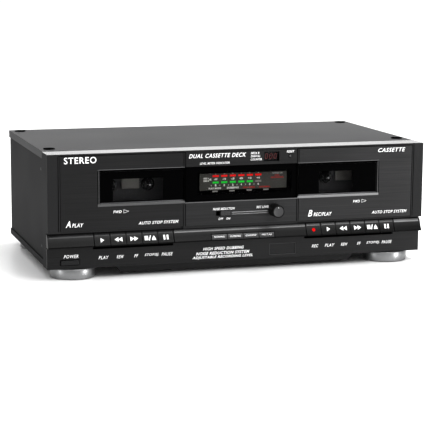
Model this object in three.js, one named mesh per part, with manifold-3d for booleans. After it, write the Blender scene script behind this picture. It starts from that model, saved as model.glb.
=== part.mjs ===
// A free-standing dual cassette deck with piano-key transports, in millimetres.
// X runs to the right, Y from the front to the back, Z up. The pieces are laid out with Y = 0 on the
// front plane of the fascia and Z = 0 on its underside. The exported group is then shifted so that its
// origin is the centre of the base of the whole deck, on the surface that its feet stand on.
import * as THREE from "three";
import { mergeVertices } from "three/addons/utils/BufferGeometryUtils.js";
import Module from "manifold-3d";

const wasm = await Module();
wasm.setup();

// ---------------------------------------------------------------- driving sizes
const GAP = 0.3; // between pieces that meet
const RUNNING = 0.5; // round a piece that moves in an opening

// Casing
const WIDTH = 430; // fascia, side to side
const BODY_HEIGHT = 124; // underside of the fascia to its top
const CASE_DEPTH = 235; // fascia front plane to the back of the casing
const SHEET = 1; // steel sheet
const TOP_FLANGE = 8; // turned down at the cover's edges
const PAN_FLANGE = 6.5; // turned up at the tray's edges
const CASE_INSET = 1; // casing side behind the fascia side
const PAD = { radius: 6.3, proud: 0.9, fromSide: 12, front: 48, fromBack: 13 }; // on the top
const FOOT_RADIUS = 25;
const FOOT_HEIGHT = 12;
const FOOT_FROM_SIDE = 32.5;
const FRONT_FOOT_Y = 28;
const BACK_FOOT_FROM_BACK = 32;

// Fascia
const FASCIA_DEPTH = 28;
const MOULD = 2.5; // moulded wall
const TOP_WALL = 2;
const PILLAR_WIDTH = 13.4; // front post beside each door
const PARTITION = 2; // inner walls beside the doors
const COLUMN_HALF = 65.5; // half width of the column between the doors
const PLATE = 3; // thickness of the column's front plates
const LOWER_FACE = 6.3; // how far the lower panel stands back
const LOWER_TOP = 22.6;
const BAR_TOP = 37.9; // trim bar and keys
const BAR_BOTTOM = 23.8;
const BAR_BACK = 9;
const GROOVE = 7; // depth of the groove over the trim bar
const LIP = -1.1; // the bar's lower lip, in front of the fascia plane
const LIP_TOP = 25.2;
const RAIL_TOP = 41;
const DOOR_BOTTOM = 41.5;
const APRON_HALF = 140;
const APRON_DROP = 8.3;
const APRON_FACE = 15;

// Doors and the dark band of windows across them
const DOOR_THICK = 5.2;
const DOOR_FACE = 3.2; // thickness of the door in front of the window's ledge
const BAND_BOTTOM = 67.5;
const BAND_TOP = 106;
const LENS_FRONT = 1.6; // how far the windows stand back
const LENS = 1.3;
const WINDOW_SHY = { a: 44.5, b: 44 }; // solid part of each door, at its outer side
const BEVEL = 3.4; // sloping edge round a window
const LEDGE = 3; // behind the window's rim
const HINGE_Y = 4;
const HINGE_Z = 44.4;
const HINGE_PIN = 1.5;
const HINGE_PIN_LENGTH = 1.8;

// A compact cassette, and where it stands
const CASSETTE = { width: 100.4, height: 63.8, thick: 12.1 };
const REEL_PITCH = 42.5;
const REELS_OVER_FLOOR = 34.8;
const CAPSTAN_OFFSET = 24;
const CAPSTAN_OVER_FLOOR = 6;
const FLOOR_Z = 51.5; // pocket floor
const POCKET_FRONT = 7.3;
const POCKET_SLACK = 0.3;
const GUIDE = 2.2; // wall of the cassette holder
const GUIDE_BACK = 1.4;
const GUIDE_LIP = 7;
const HOLDER_FROM_COLUMN = { a: 3.3, b: 8.9 };

// Keys
const KEY_PITCH = 17.6;
const KEY_GAP = 0.5;
const KEYS_FROM_COLUMN = 11;
const KEY_STEP = 4.6; // where the key's underside steps up, behind its lip
const KEY_UNDER = 28.2;
const KEY_BACK = 12;
const LEVER_WIDTH = 5;
const LEVER_LOW = 28.2;
const LEVER_HIGH = 33;
const KEY_PIVOT_Y = 52;
const KEY_PIVOT_Z = 30.5;
const KEY_ROD = 1.5;
const KEY_EYE = 4;

// Mechanism
const PLATE_Y = 24;
const DECK_PLATE = 1.5;
const REEL_HUB = 4.3;
const REEL_SHAFT = 2.4;
const REEL_TABLE = 10;
const REEL_GEAR = 14;
const REEL_TIP_Y = 11.5;
const CAPSTAN = 1.2;
const CAPSTAN_BUSH = 3.4;
const CAPSTAN_TIP_Y = 9;
const FLYWHEEL = 22;
const FLYWHEEL_THICK = 6;
const FLYWHEEL_Y = 31;
const SLED_TRAVEL = 5;
const SLED_HALF = 36;
const SLED_Y = 20.3;
const SLED_THICK = 1.4;
const HEAD_HALF = 8;
const ROLLER = 6;
const ROLLER_PIN = 1.4;
const MOTOR_RADIUS = 15;
const MOTOR_LENGTH = 25;
const MOTOR_X = 28;
const MOTOR_Z = 98;
const PULLEY = 4;
const BELT = 1.4;

// Controls
const KNOB = { radius: 7.1, proud: 16, x: 37.2, z: 55.5, shaft: 3 };
const RESET = { radius: 2, proud: 0.8, x: 55.8, z: 114.5, length: 8 };
const POWER = { width: 19.6, height: 5, x: -190.2, z: 6.8, proud: 1.6, length: 9 };
const SWITCH = { slot: 16.4, knob: 10.8, height: 5, x: -21.1, z: 53.8, proud: 1.4, length: 7 };
const SELECTOR = { count: 4, pitch: 18.2, low: 24.6, high: 30.4, x: 2.2, length: 9 };
const COUNTER = { width: 17.6, height: 10.4, x: 34.1, z: 114.4 };
const BLANK = { width: 31, height: 12.6, x: 50.4, z: 9.8, deep: 0.8 };
const METER = { width: 100.5, height: 18.6, x: 4.2, z: 87.6, y: 7.5, thick: 1.5, arm: 6 };

// Back and inside
const JACK = { radius: 4.2, hole: 1.7, proud: 9, x: 95, z: 84 };
const JACK_GRID = { x: 18, z: 16, margin: 9, plate: 1.5 };
const INLET = { width: 16.4, height: 9.2, wall: 2.2, deep: 12, x: -165, z: 34 };
const INLET_FLANGE = { wide: 3, thick: 1.8 };
const INLET_PIN = { radius: 1.2, spread: 4.3, length: 8 };
const BOARD = { width: 230, depth: 95, thick: 1.6, x: 70, fromBack: 14, z: 9, post: 7 };
const CORE = { width: 56, depth: 44, height: 46, x: -140, fromBack: 58 };
const SIDE_HOLE = { radius: 2, y: 46, low: 19, high: 103 };
const BRACKET = { thick: 1.5, deep: 12, beyondKeys: 3 };
const MOTOR_STAND = 34;

// ---------------------------------------------------------------- places that follow from them
const half = WIDTH / 2;
const caseHalf = half - CASE_INSET;
const doorTop = BODY_HEIGHT - TOP_WALL - RUNNING;
const pillarInside = half - PILLAR_WIDTH;
const doorInside = COLUMN_HALF + 0.7;
const doorOutside = pillarInside - RUNNING;
const plateBack = PLATE + GAP;
const pocketBack = POCKET_FRONT + CASSETTE.thick + 2 * POCKET_SLACK;
const pocketHalf = CASSETTE.width / 2 + POCKET_SLACK;
const holderHalf = pocketHalf + GUIDE;
const reelZ = FLOOR_Z + REELS_OVER_FLOOR;
const capstanZ = FLOOR_Z + CAPSTAN_OVER_FLOOR;
const rollerRestZ = capstanZ - CAPSTAN - ROLLER - SLED_TRAVEL - 0.1;
const tapeY = POCKET_FRONT + POCKET_SLACK + CASSETTE.thick / 2;
const rearWallBack = CASE_DEPTH - SHEET - GAP;
const motorBack = FLYWHEEL_Y + FLYWHEEL_THICK + 3 + MOTOR_LENGTH;
const DECKS = {
  a: { side: -1, keys: ["play", "rewind", "fast_forward", "stop_eject", "pause"] },
  b: { side: 1, keys: ["record", "play", "rewind", "fast_forward", "stop_eject", "pause"] },
};
for (const [letter, deck] of Object.entries(DECKS)) {
  deck.x = deck.side * (COLUMN_HALF + HOLDER_FROM_COLUMN[letter] + holderHalf);
  deck.keyBank = deck.keys.length * KEY_PITCH;
  const inner = deck.side * (COLUMN_HALF + KEYS_FROM_COLUMN);
  deck.keysLeft = deck.side < 0 ? inner - deck.keyBank : inner;
  deck.bankSpan = [deck.keysLeft - KEY_GAP, deck.keysLeft + deck.keyBank + KEY_GAP];
}
const bracketXs = [DECKS.a.bankSpan[0] - BRACKET.beyondKeys, 0, DECKS.b.bankSpan[1] + BRACKET.beyondKeys];

// ---------------------------------------------------------------- materials
function finish(color, roughness, metalness = 0, extra = {}) {
  return new THREE.MeshStandardMaterial({ color, roughness, metalness, ...extra });
}
const paintedSteel = finish(0x2a2a2b, 0.6, 0.3);
const brushedBlack = finish(0x262627, 0.45, 0.2);
const moulding = finish(0x1d1d1e, 0.5);
const glossBlack = finish(0x121213, 0.2);
const smoked = finish(0x050506, 0.05, 0, { transparent: true, opacity: 0.6 });
const silver = finish(0xc4c5c6, 0.25, 1);
const steel = finish(0x9a9b9c, 0.35, 1);
const brass = finish(0xb08d4a, 0.35, 1);
const rubber = finish(0x101010, 0.9);
const darkMetal = finish(0x2d2e30, 0.5, 0.6);
const meterGrey = finish(0x55554f, 0.5);
const circuitGreen = finish(0x1f4a2a, 0.5);
const ironCore = finish(0x4a4644, 0.6, 0.7);

// ---------------------------------------------------------------- solids
// The closed solid of a three.js geometry.
function solidOf(geometry) {
  const bare = geometry.clone();
  bare.deleteAttribute("normal");
  bare.deleteAttribute("uv");
  const merged = mergeVertices(bare, 1e-4);
  return new wasm.Manifold(
    new wasm.Mesh({
      numProp: 3,
      vertProperties: merged.getAttribute("position").array,
      triVerts: new Uint32Array(merged.index.array),
    }),
  );
}

function geometryOf(solid) {
  const { numProp, numVert, vertProperties, triVerts } = solid.getMesh();
  const position = new Float32Array(numVert * 3);
  for (let i = 0; i < numVert; i++) {
    position.set(vertProperties.subarray(i * numProp, i * numProp + 3), i * 3);
  }
  const geometry = new THREE.BufferGeometry();
  geometry.setAttribute("position", new THREE.BufferAttribute(position, 3));
  geometry.setIndex(new THREE.BufferAttribute(new Uint32Array(triVerts), 1));
  geometry.computeVertexNormals();
  return geometry;
}

function join(...solids) {
  return solids.reduce((all, next) => all.add(next));
}

function cut(solid, ...tools) {
  return tools.reduce((left, tool) => left.subtract(tool), solid);
}

// A block between two places on each axis, given in either order.
function block([x0, x1], [y0, y1], [z0, z1]) {
  const box = new THREE.BoxGeometry(Math.abs(x1 - x0), Math.abs(y1 - y0), Math.abs(z1 - z0));
  return solidOf(box.translate((x0 + x1) / 2, (y0 + y1) / 2, (z0 + z1) / 2));
}

// A span of a given length round a centre.
function about(centre, length) {
  return [centre - length / 2, centre + length / 2];
}

// A rod along Y, from y0 to y1.
function rodY(radius, x, z, y0, y1, sides = 16) {
  const rod = new THREE.CylinderGeometry(radius, radius, y1 - y0, sides);
  return solidOf(rod.translate(x, (y0 + y1) / 2, z));
}

// A rod along X, from x0 to x1.
function rodX(radius, y, z, x0, x1, sides = 12) {
  const rod = new THREE.CylinderGeometry(radius, radius, Math.abs(x1 - x0), sides);
  return solidOf(rod.rotateZ(Math.PI / 2).translate((x0 + x1) / 2, y, z));
}

// A rod along Z, from z0 to z1.
function rodZ(radius, x, y, z0, z1, sides = 16) {
  const rod = new THREE.CylinderGeometry(radius, radius, z1 - z0, sides);
  return solidOf(rod.rotateX(Math.PI / 2).translate(x, y, (z0 + z1) / 2));
}

// A section drawn in Y and Z, pulled along X.
function pullX(shape, x0, x1, curveSegments = 6) {
  const bar = new THREE.ExtrudeGeometry(shape, { depth: x1 - x0, bevelEnabled: false, curveSegments });
  const turn = new THREE.Matrix4().makeBasis(
    new THREE.Vector3(0, 1, 0),
    new THREE.Vector3(0, 0, 1),
    new THREE.Vector3(1, 0, 0),
  );
  return solidOf(bar.applyMatrix4(turn).translate(x0, 0, 0));
}

// An outline drawn in X and Z, from y0 to y1.
function pullY(shape, y0, y1, curveSegments = 8) {
  const slab = new THREE.ExtrudeGeometry(shape, { depth: y1 - y0, bevelEnabled: false, curveSegments });
  return solidOf(slab.rotateX(Math.PI / 2).translate(0, y1, 0));
}

// A shape turned about Y: points are [radius, y], from front to back.
function turnY(points, sides) {
  return solidOf(new THREE.LatheGeometry(points.map(([r, y]) => new THREE.Vector2(r, y)), sides));
}

// A cutter for a window with sloping edges: full size at the front, drawn in by the bevel at the back.
// An edge named in plain keeps straight.
function windowCutter([x0, x1], [z0, z1], depth, plain = "") {
  const grow = 0.5;
  const box = new THREE.BoxGeometry(1, 1, 1);
  const place = box.getAttribute("position");
  for (let i = 0; i < place.count; i++) {
    const atBack = place.getY(i) > 0;
    const right = place.getX(i) > 0;
    const up = place.getZ(i) > 0;
    const slope = atBack ? BEVEL * 0.5 : (-BEVEL * grow) / depth;
    const drawnIn = (edge) => (plain.includes(edge) ? 0 : slope);
    const x = right ? x1 - drawnIn("right") : x0 + drawnIn("left");
    const z = up ? z1 - drawnIn("top") : z0 + drawnIn("bottom");
    place.setXYZ(i, x, atBack ? depth : -grow, z);
  }
  return solidOf(box);
}

const deck = new THREE.Group();
const shift = new THREE.Group();
shift.add(deck);
shift.position.set(0, -(CASE_DEPTH + JACK.proud - KNOB.proud) / 2, FOOT_HEIGHT);

function add(name, solid, material, x = 0, y = 0, z = 0) {
  const mesh = new THREE.Mesh(geometryOf(solid), material);
  mesh.name = name;
  mesh.position.set(x, y, z);
  deck.add(mesh);
}

// ---------------------------------------------------------------- casing
const coverFront = FASCIA_DEPTH + GAP;

// The lid, with the rubber pads on it that another component stands on.
function topCover() {
  const inner = caseHalf - SHEET;
  const folded = cut(
    block([-caseHalf, caseHalf], [coverFront, CASE_DEPTH], [BODY_HEIGHT - TOP_FLANGE, BODY_HEIGHT]),
    block([-inner, inner], [coverFront - 1, CASE_DEPTH - SHEET], [0, BODY_HEIGHT - SHEET]),
  );
  const pads = [-1, 1].flatMap((s) =>
    [PAD.front, CASE_DEPTH - PAD.fromBack].map((y) =>
      rodZ(PAD.radius, s * (half - PAD.fromSide), y, BODY_HEIGHT - 0.5, BODY_HEIGHT + PAD.proud, 20),
    ),
  );
  return join(folded, ...pads);
}

const sidePanelOut = caseHalf - SHEET - GAP;

function sidePanel(s) {
  const across = [s * sidePanelOut, s * (sidePanelOut - SHEET)];
  const panel = block(
    across,
    [coverFront, rearWallBack - SHEET - GAP],
    [SHEET + GAP, BODY_HEIGHT - SHEET - GAP],
  );
  const reach = [s * (sidePanelOut - 4), s * (sidePanelOut + 4)];
  return cut(
    panel,
    rodX(SIDE_HOLE.radius, SIDE_HOLE.y, SIDE_HOLE.low, ...reach),
    rodX(SIDE_HOLE.radius, SIDE_HOLE.y, SIDE_HOLE.high, ...reach),
  );
}

// Bottom, rear wall and the brackets that carry the key rod, folded from one sheet.
function chassisTray() {
  const length = [coverFront, rearWallBack];
  const rearWall = [rearWallBack - SHEET, rearWallBack];
  const through = [rearWallBack - 5, rearWallBack + 5];
  const tray = join(
    block([-caseHalf, caseHalf], length, [0, SHEET]),
    ...[-1, 1].map((s) => block([s * caseHalf, s * (caseHalf - SHEET)], length, [0, PAN_FLANGE])),
    block(about(0, 2 * (caseHalf - SHEET - GAP)), rearWall, [0, BODY_HEIGHT - SHEET - GAP]),
    block(about(0, 2 * (sidePanelOut - SHEET - GAP)), [coverFront, coverFront + SHEET], [0, TOP_FLANGE]),
    ...bracketXs.map((x) =>
      block(
        about(x, BRACKET.thick),
        about(KEY_PIVOT_Y, BRACKET.deep),
        [0.5, KEY_PIVOT_Z + BRACKET.deep / 2],
      ),
    ),
    block(
      about(MOTOR_X, MOTOR_STAND),
      [motorBack + GAP, motorBack + GAP + BRACKET.thick],
      [0.5, MOTOR_Z + MOTOR_RADIUS],
    ),
  );
  return cut(
    tray,
    ...bracketXs.map((x) => rodX(KEY_ROD + GAP, KEY_PIVOT_Y, KEY_PIVOT_Z, x - 3, x + 3)),
    block(
      about(JACK.x, JACK_GRID.x + 2 * JACK.radius + 2),
      through,
      about(JACK.z, JACK_GRID.z + 2 * JACK.radius + 2),
    ),
    block(
      about(INLET.x, INLET.width + 2 * INLET.wall + 2 * GAP),
      through,
      about(INLET.z, INLET.height + 2 * INLET.wall + 2 * GAP),
    ),
  );
}

function foot() {
  const rim = 1.2;
  const sides = 28;
  const profile = [
    [0, 1.4],
    [FOOT_RADIUS - 6, 1.4],
    [FOOT_RADIUS - 6, 0],
    [FOOT_RADIUS - rim, 0],
    [FOOT_RADIUS, rim],
    [FOOT_RADIUS, FOOT_HEIGHT - 3],
    [FOOT_RADIUS - rim, FOOT_HEIGHT - 2.4],
    [FOOT_RADIUS - rim, FOOT_HEIGHT - GAP],
    [0, FOOT_HEIGHT - GAP],
  ];
  const ring = new THREE.LatheGeometry(profile.map(([r, y]) => new THREE.Vector2(r, y)), sides);
  return solidOf(ring.rotateX(Math.PI / 2));
}

add("top_cover", topCover(), paintedSteel);
add("side_panel_left", sidePanel(-1), paintedSteel);
add("side_panel_right", sidePanel(1), paintedSteel);
add("chassis_tray", chassisTray(), paintedSteel);
for (const [row, y] of [
  ["front", FRONT_FOOT_Y],
  ["back", CASE_DEPTH - BACK_FOOT_FROM_BACK],
]) {
  for (const [hand, s] of [
    ["left", -1],
    ["right", 1],
  ]) {
    add(`foot_${row}_${hand}`, foot(), silver, s * (half - FOOT_FROM_SIDE), y, -FOOT_HEIGHT);
  }
}

// ---------------------------------------------------------------- fascia
const columnBack = plateBack + PARTITION;

function pinHole(x0, x1) {
  return rodX(HINGE_PIN + RUNNING, HINGE_Y, HINGE_Z, x0, x1, 10);
}

function fasciaFrame() {
  const top = BODY_HEIGHT - TOP_WALL;
  const lowerWallY = LOWER_FACE + MOULD + GAP;
  const post = [RAIL_TOP - 1, top + 0.5];
  const column = [plateBack, FASCIA_DEPTH];
  const pieces = [
    block([-half, half], [0, FASCIA_DEPTH], [top, BODY_HEIGHT]),
    block([-half, half], [GROOVE, GROOVE + PARTITION], [BAR_TOP + GAP, RAIL_TOP]),
    block([-COLUMN_HALF, COLUMN_HALF], [plateBack, columnBack], [BAR_TOP + GAP, top]),
    block([-COLUMN_HALF, COLUMN_HALF], [plateBack, GROOVE + PARTITION], [BAR_TOP + GAP, RAIL_TOP]),
  ];
  for (const s of [-1, 1]) {
    const outerWall = [s * half, s * (half - MOULD)];
    pieces.push(
      block(outerWall, [lowerWallY, FASCIA_DEPTH], [0, BODY_HEIGHT]),
      block(outerWall, [0, FASCIA_DEPTH], [RAIL_TOP - 1, BODY_HEIGHT]),
      block([s * half, s * pillarInside], [0, MOULD], [RAIL_TOP - 1, BODY_HEIGHT]),
      block([s * pillarInside, s * (pillarInside + PARTITION)], [0, FASCIA_DEPTH], post),
      block([s * (COLUMN_HALF - PARTITION), s * COLUMN_HALF], column, post),
    );
  }
  const through = [plateBack - 1, columnBack + 1];
  return cut(
    join(...pieces),
    block(about(0, 2 * (COLUMN_HALF - PARTITION - 4)), through, [BAND_BOTTOM + 3, BAND_TOP - 3]),
    block(about(COUNTER.x, COUNTER.width + 1), through, about(COUNTER.z, COUNTER.height + 1)),
    block(about(SWITCH.x, SWITCH.slot + 2), through, about(SWITCH.z, SWITCH.height + 2)),
    rodY(KNOB.shaft + RUNNING, KNOB.x, KNOB.z, ...through, 12),
    rodY(RESET.radius + RUNNING, RESET.x, RESET.z, ...through, 12),
    ...[-1, 1].map((s) => pinHole(s * doorOutside, s * (doorOutside + 4))),
    ...[-1, 1].map((s) => pinHole(s * (COLUMN_HALF + 1), s * (COLUMN_HALF - 3))),
  );
}

function lowerFascia() {
  const underside = MOULD;
  const face = [LOWER_FACE, LOWER_FACE + MOULD];
  const apron = new THREE.Shape();
  const slope = 8;
  apron.moveTo(-APRON_HALF, underside / 2);
  apron.lineTo(-APRON_HALF, 0);
  apron.lineTo(-APRON_HALF + slope, -APRON_DROP);
  apron.lineTo(APRON_HALF - slope, -APRON_DROP);
  apron.lineTo(APRON_HALF, 0);
  apron.lineTo(APRON_HALF, underside / 2);
  const body = join(
    block([-half, half], face, [0, LOWER_TOP]),
    block(about(0, 2 * (half - MOULD - GAP)), [LOWER_FACE + 1, FASCIA_DEPTH], [0, underside]),
    pullY(apron, APRON_FACE, APRON_FACE + PLATE),
  );
  const slots = Object.values(DECKS).map((d) =>
    block(d.bankSpan, [LOWER_FACE - 1, LOWER_FACE + MOULD + 1], [LOWER_TOP - 2.4, LOWER_TOP + 5]),
  );
  return cut(
    body,
    ...slots,
    block(
      about(POWER.x, POWER.width + 2 * RUNNING),
      [0, 15],
      about(POWER.z, POWER.height + 2 * RUNNING),
    ),
    block(about(BLANK.x, BLANK.width), [0, LOWER_FACE + BLANK.deep], about(BLANK.z, BLANK.height)),
  );
}

// The front of the trim bar and of the keys: out of the groove, round, and down to the lip.
function barFront(shape) {
  shape.lineTo(GROOVE, BAR_TOP);
  shape.bezierCurveTo(3.2, BAR_TOP - 0.6, 2.6, LIP_TOP + 3.6, LIP, LIP_TOP);
}

// One moulding: the bar stops at each bank of keys, and a strip behind the keys joins it up.
function trimBar() {
  const section = new THREE.Shape();
  section.moveTo(BAR_BACK, BAR_BOTTOM);
  section.lineTo(BAR_BACK, BAR_TOP);
  barFront(section);
  section.lineTo(LIP, BAR_BOTTOM);
  const stripBack = KEY_BACK + 2;
  const stripTop = BAR_TOP - 0.8;
  const selectors = SELECTOR.count * SELECTOR.pitch + RUNNING;
  const strip = block(about(0, 2 * (half - MOULD - 1)), [BAR_BACK - 1, stripBack], [34.4, stripTop]);
  return cut(
    join(pullX(section, -half, half), strip),
    ...Object.values(DECKS).map((d) => block(d.bankSpan, [-5, KEY_BACK + RUNNING], [20, 45])),
    block(about(SELECTOR.x, selectors), [-5, BAR_BACK + 1], [20, SELECTOR.high + RUNNING]),
    ...[-1, 1].map((s) =>
      block([s * (half - MOULD - GAP), s * (half + 1)], [LOWER_FACE + MOULD, 20], [20, 45]),
    ),
  );
}

function upperPlate() {
  const front = block([-COLUMN_HALF, COLUMN_HALF], [0, PLATE], [BAND_TOP, doorTop]);
  return cut(
    front,
    block(about(COUNTER.x, COUNTER.width), [-1, PLATE + 1], about(COUNTER.z, COUNTER.height)),
    rodY(RESET.radius + GAP, RESET.x, RESET.z, -1, PLATE + 1, 14),
  );
}

function lowerPlate() {
  const front = block([-COLUMN_HALF, COLUMN_HALF], [0, PLATE], [DOOR_BOTTOM, BAND_BOTTOM]);
  return cut(
    front,
    block(about(SWITCH.x, SWITCH.slot), [-1, PLATE + 1], about(SWITCH.z, SWITCH.height + RUNNING)),
    rodY(KNOB.shaft + RUNNING, KNOB.x, KNOB.z, -1, PLATE + 1, 14),
    ...[-1, 1].map((s) => pinHole(s * (COLUMN_HALF + 1), s * (COLUMN_HALF - 3))),
  );
}

function displayLens() {
  return block([-COLUMN_HALF, COLUMN_HALF], [LENS_FRONT, PLATE], [BAND_BOTTOM + GAP, BAND_TOP - GAP]);
}

// The meter's plate, on arms that reach the column's side walls.
function meterPanel() {
  const back = METER.y + METER.thick;
  const inside = 2 * (COLUMN_HALF - PARTITION - GAP);
  return join(
    block(about(METER.x, METER.width), [METER.y, back], about(METER.z, METER.height)),
    block(about(0, inside), [back - 0.3, back + 1.5], about(METER.z, METER.arm)),
  );
}

add("fascia_frame", fasciaFrame(), moulding);
add("lower_fascia", lowerFascia(), moulding);
add("trim_bar", trimBar(), glossBlack);
add("upper_plate", upperPlate(), brushedBlack);
add("lower_plate", lowerPlate(), brushedBlack);
add("display_lens", displayLens(), smoked);
add("meter_panel", meterPanel(), meterGrey);

// ---------------------------------------------------------------- doors, windows and cassette holders
// The window's span across a door, from its rim to the door's inner edge.
function windowSpan(letter) {
  const { side } = DECKS[letter];
  const rim = doorOutside - WINDOW_SHY[letter] + 4;
  return side < 0 ? [-rim, -doorInside] : [doorInside, rim];
}

function door(letter) {
  const { side } = DECKS[letter];
  const [x0, x1] = windowSpan(letter);
  const openEdge = side < 0 ? "right" : "left";
  const reach = side < 0 ? [x0, x1 + 1] : [x0 - 1, x1];
  const slab = block([side * doorInside, side * doorOutside], [0, DOOR_THICK], [DOOR_BOTTOM, doorTop]);
  const pinned = join(
    slab,
    rodX(HINGE_PIN, HINGE_Y, HINGE_Z, side * (doorInside + 1), side * (doorInside - HINGE_PIN_LENGTH), 10),
    rodX(HINGE_PIN, HINGE_Y, HINGE_Z, side * (doorOutside - 1), side * (doorOutside + HINGE_PIN_LENGTH), 10),
  );
  const inset = BEVEL * 0.5 + LEDGE;
  const seat = BEVEL * 0.5;
  const seatSpan = side < 0 ? [x0 + seat, x1 + 1] : [x0 - 1, x1 - seat];
  return cut(
    pinned,
    windowCutter(reach, [BAND_BOTTOM, BAND_TOP], LENS_FRONT, openEdge),
    block(seatSpan, [LENS_FRONT - 0.1, DOOR_FACE], [BAND_BOTTOM + seat, BAND_TOP - seat]),
    block(
      [x0 + inset, x1 - inset],
      [DOOR_FACE - 1, DOOR_THICK + 1],
      [BAND_BOTTOM + inset, BAND_TOP - inset],
    ),
  );
}

function doorWindow(letter) {
  const { side } = DECKS[letter];
  const [x0, x1] = windowSpan(letter);
  const seat = BEVEL * 0.5 + GAP;
  const span = side < 0 ? [x0 + seat, x1] : [x0, x1 - seat];
  return block(span, [LENS_FRONT, LENS_FRONT + LENS], [BAND_BOTTOM + seat, BAND_TOP - seat]);
}

// Two guides with back lips and floor tabs, joined by bars above and below the window.
function cassetteHolder() {
  const front = DOOR_THICK + GAP;
  const back = pocketBack + GUIDE_BACK;
  const floor = [FLOOR_Z - GUIDE, FLOOR_Z];
  const guideTop = FLOOR_Z + CASSETTE.height * 0.94;
  const barBack = POCKET_FRONT;
  const pieces = [
    block([-holderHalf, holderHalf], [front, barBack], [BAND_TOP + 1, guideTop]),
    block([-holderHalf, holderHalf], [front, barBack], [FLOOR_Z + 1, BAND_BOTTOM - 3]),
  ];
  for (const s of [-1, 1]) {
    const wall = [s * pocketHalf, s * holderHalf];
    pieces.push(
      block(wall, [front, back], [floor[0], guideTop]),
      block([s * (holderHalf - GUIDE_LIP), s * holderHalf], [pocketBack, back], [floor[0], guideTop]),
      block([s * (SLED_HALF + 4), s * holderHalf], [front, back], floor),
    );
  }
  return join(...pieces);
}

for (const [letter, d] of Object.entries(DECKS)) {
  add(`door_${letter}`, door(letter), brushedBlack);
  add(`door_window_${letter}`, doorWindow(letter), smoked);
  add(`cassette_holder_${letter}`, cassetteHolder(), moulding, d.x);
}

// ---------------------------------------------------------------- keys
function key() {
  const wide = KEY_PITCH - KEY_GAP;
  const cap = new THREE.Shape();
  cap.moveTo(KEY_BACK, KEY_UNDER);
  cap.lineTo(KEY_BACK, BAR_TOP - 0.4);
  cap.lineTo(GROOVE, BAR_TOP - 0.4);
  barFront(cap);
  cap.lineTo(LIP, BAR_BOTTOM);
  cap.lineTo(KEY_STEP, BAR_BOTTOM);
  cap.lineTo(KEY_STEP, KEY_UNDER);
  const lever = join(
    block(about(0, LEVER_WIDTH), [KEY_BACK - 2, KEY_PIVOT_Y], [LEVER_LOW, LEVER_HIGH]),
    rodX(KEY_EYE, KEY_PIVOT_Y, KEY_PIVOT_Z, -LEVER_WIDTH / 2, LEVER_WIDTH / 2),
  );
  return cut(
    join(pullX(cap, -wide / 2, wide / 2), lever),
    rodX(KEY_ROD + GAP, KEY_PIVOT_Y, KEY_PIVOT_Z, -LEVER_WIDTH, LEVER_WIDTH),
  );
}

for (const [letter, d] of Object.entries(DECKS)) {
  d.keys.forEach((name, i) => {
    add(`key_${letter}_${name}`, key(), glossBlack, d.keysLeft + (i + 0.5) * KEY_PITCH);
  });
}
const rodEnds = [bracketXs[0] - BRACKET.thick, bracketXs[2] + BRACKET.thick];
add("key_pivot_rod", rodX(KEY_ROD, KEY_PIVOT_Y, KEY_PIVOT_Z, ...rodEnds), steel);

// ---------------------------------------------------------------- controls
function knob() {
  const grip = KNOB.radius;
  const edge = 0.8;
  const profile = [
    [0, -KNOB.proud],
    [grip - edge, -KNOB.proud],
    [grip, -KNOB.proud + edge],
    [grip, -RUNNING],
    [KNOB.shaft, -RUNNING],
    [KNOB.shaft, columnBack + 6],
    [0, columnBack + 6],
  ];
  return turnY(profile, 20);
}

function selector() {
  const section = new THREE.Shape();
  const back = SELECTOR.length;
  section.moveTo(back, SELECTOR.low);
  section.lineTo(back, SELECTOR.high);
  section.lineTo(1.3, SELECTOR.high);
  section.lineTo(-0.7, SELECTOR.low + 1);
  section.lineTo(-0.7, SELECTOR.low);
  const wide = SELECTOR.pitch - RUNNING;
  return pullX(section, -wide / 2, wide / 2);
}

add(
  "power_button",
  block(
    about(0, POWER.width),
    [LOWER_FACE - POWER.proud, LOWER_FACE - POWER.proud + POWER.length],
    about(0, POWER.height),
  ),
  moulding,
  POWER.x,
  0,
  POWER.z,
);
const resetPin = rodY(RESET.radius - GAP, 0, 0, -RESET.proud, RESET.length, 14);
add("reset_button", resetPin, moulding, RESET.x, 0, RESET.z);
add(
  "noise_reduction_switch",
  block(about(0, SWITCH.knob), [-SWITCH.proud, SWITCH.length], about(0, SWITCH.height - RUNNING)),
  moulding,
  SWITCH.x + (SWITCH.slot - SWITCH.knob) / 2 - GAP,
  0,
  SWITCH.z,
);
add("record_level_knob", knob(), moulding, KNOB.x, 0, KNOB.z);
for (let i = 0; i < SELECTOR.count; i++) {
  const x = SELECTOR.x + (i - (SELECTOR.count - 1) / 2) * SELECTOR.pitch;
  add(`selector_button_${i + 1}`, selector(), glossBlack, x);
}

// ---------------------------------------------------------------- tape mechanisms
const plateBackY = PLATE_Y + DECK_PLATE;

function mechanismPlate(letter) {
  const d = DECKS[letter];
  const inside = COLUMN_HALF + GAP;
  const outside = pillarInside - GAP;
  const plate = block(
    [d.side * inside, d.side * outside],
    [PLATE_Y, plateBackY],
    [RAIL_TOP - 1, BODY_HEIGHT - TOP_WALL - GAP],
  );
  const through = [PLATE_Y - 1, plateBackY + 1];
  const capstanX = d.x + CAPSTAN_OFFSET;
  const bush = rodY(CAPSTAN_BUSH, capstanX, capstanZ, plateBackY - 0.5, FLYWHEEL_Y - RUNNING);
  return cut(
    join(plate, bush),
    ...[-1, 1].map((s) => rodY(REEL_SHAFT + RUNNING, d.x + (s * REEL_PITCH) / 2, reelZ, ...through)),
    rodY(CAPSTAN + GAP, capstanX, capstanZ, PLATE_Y - 1, FLYWHEEL_Y, 12),
  );
}

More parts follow.
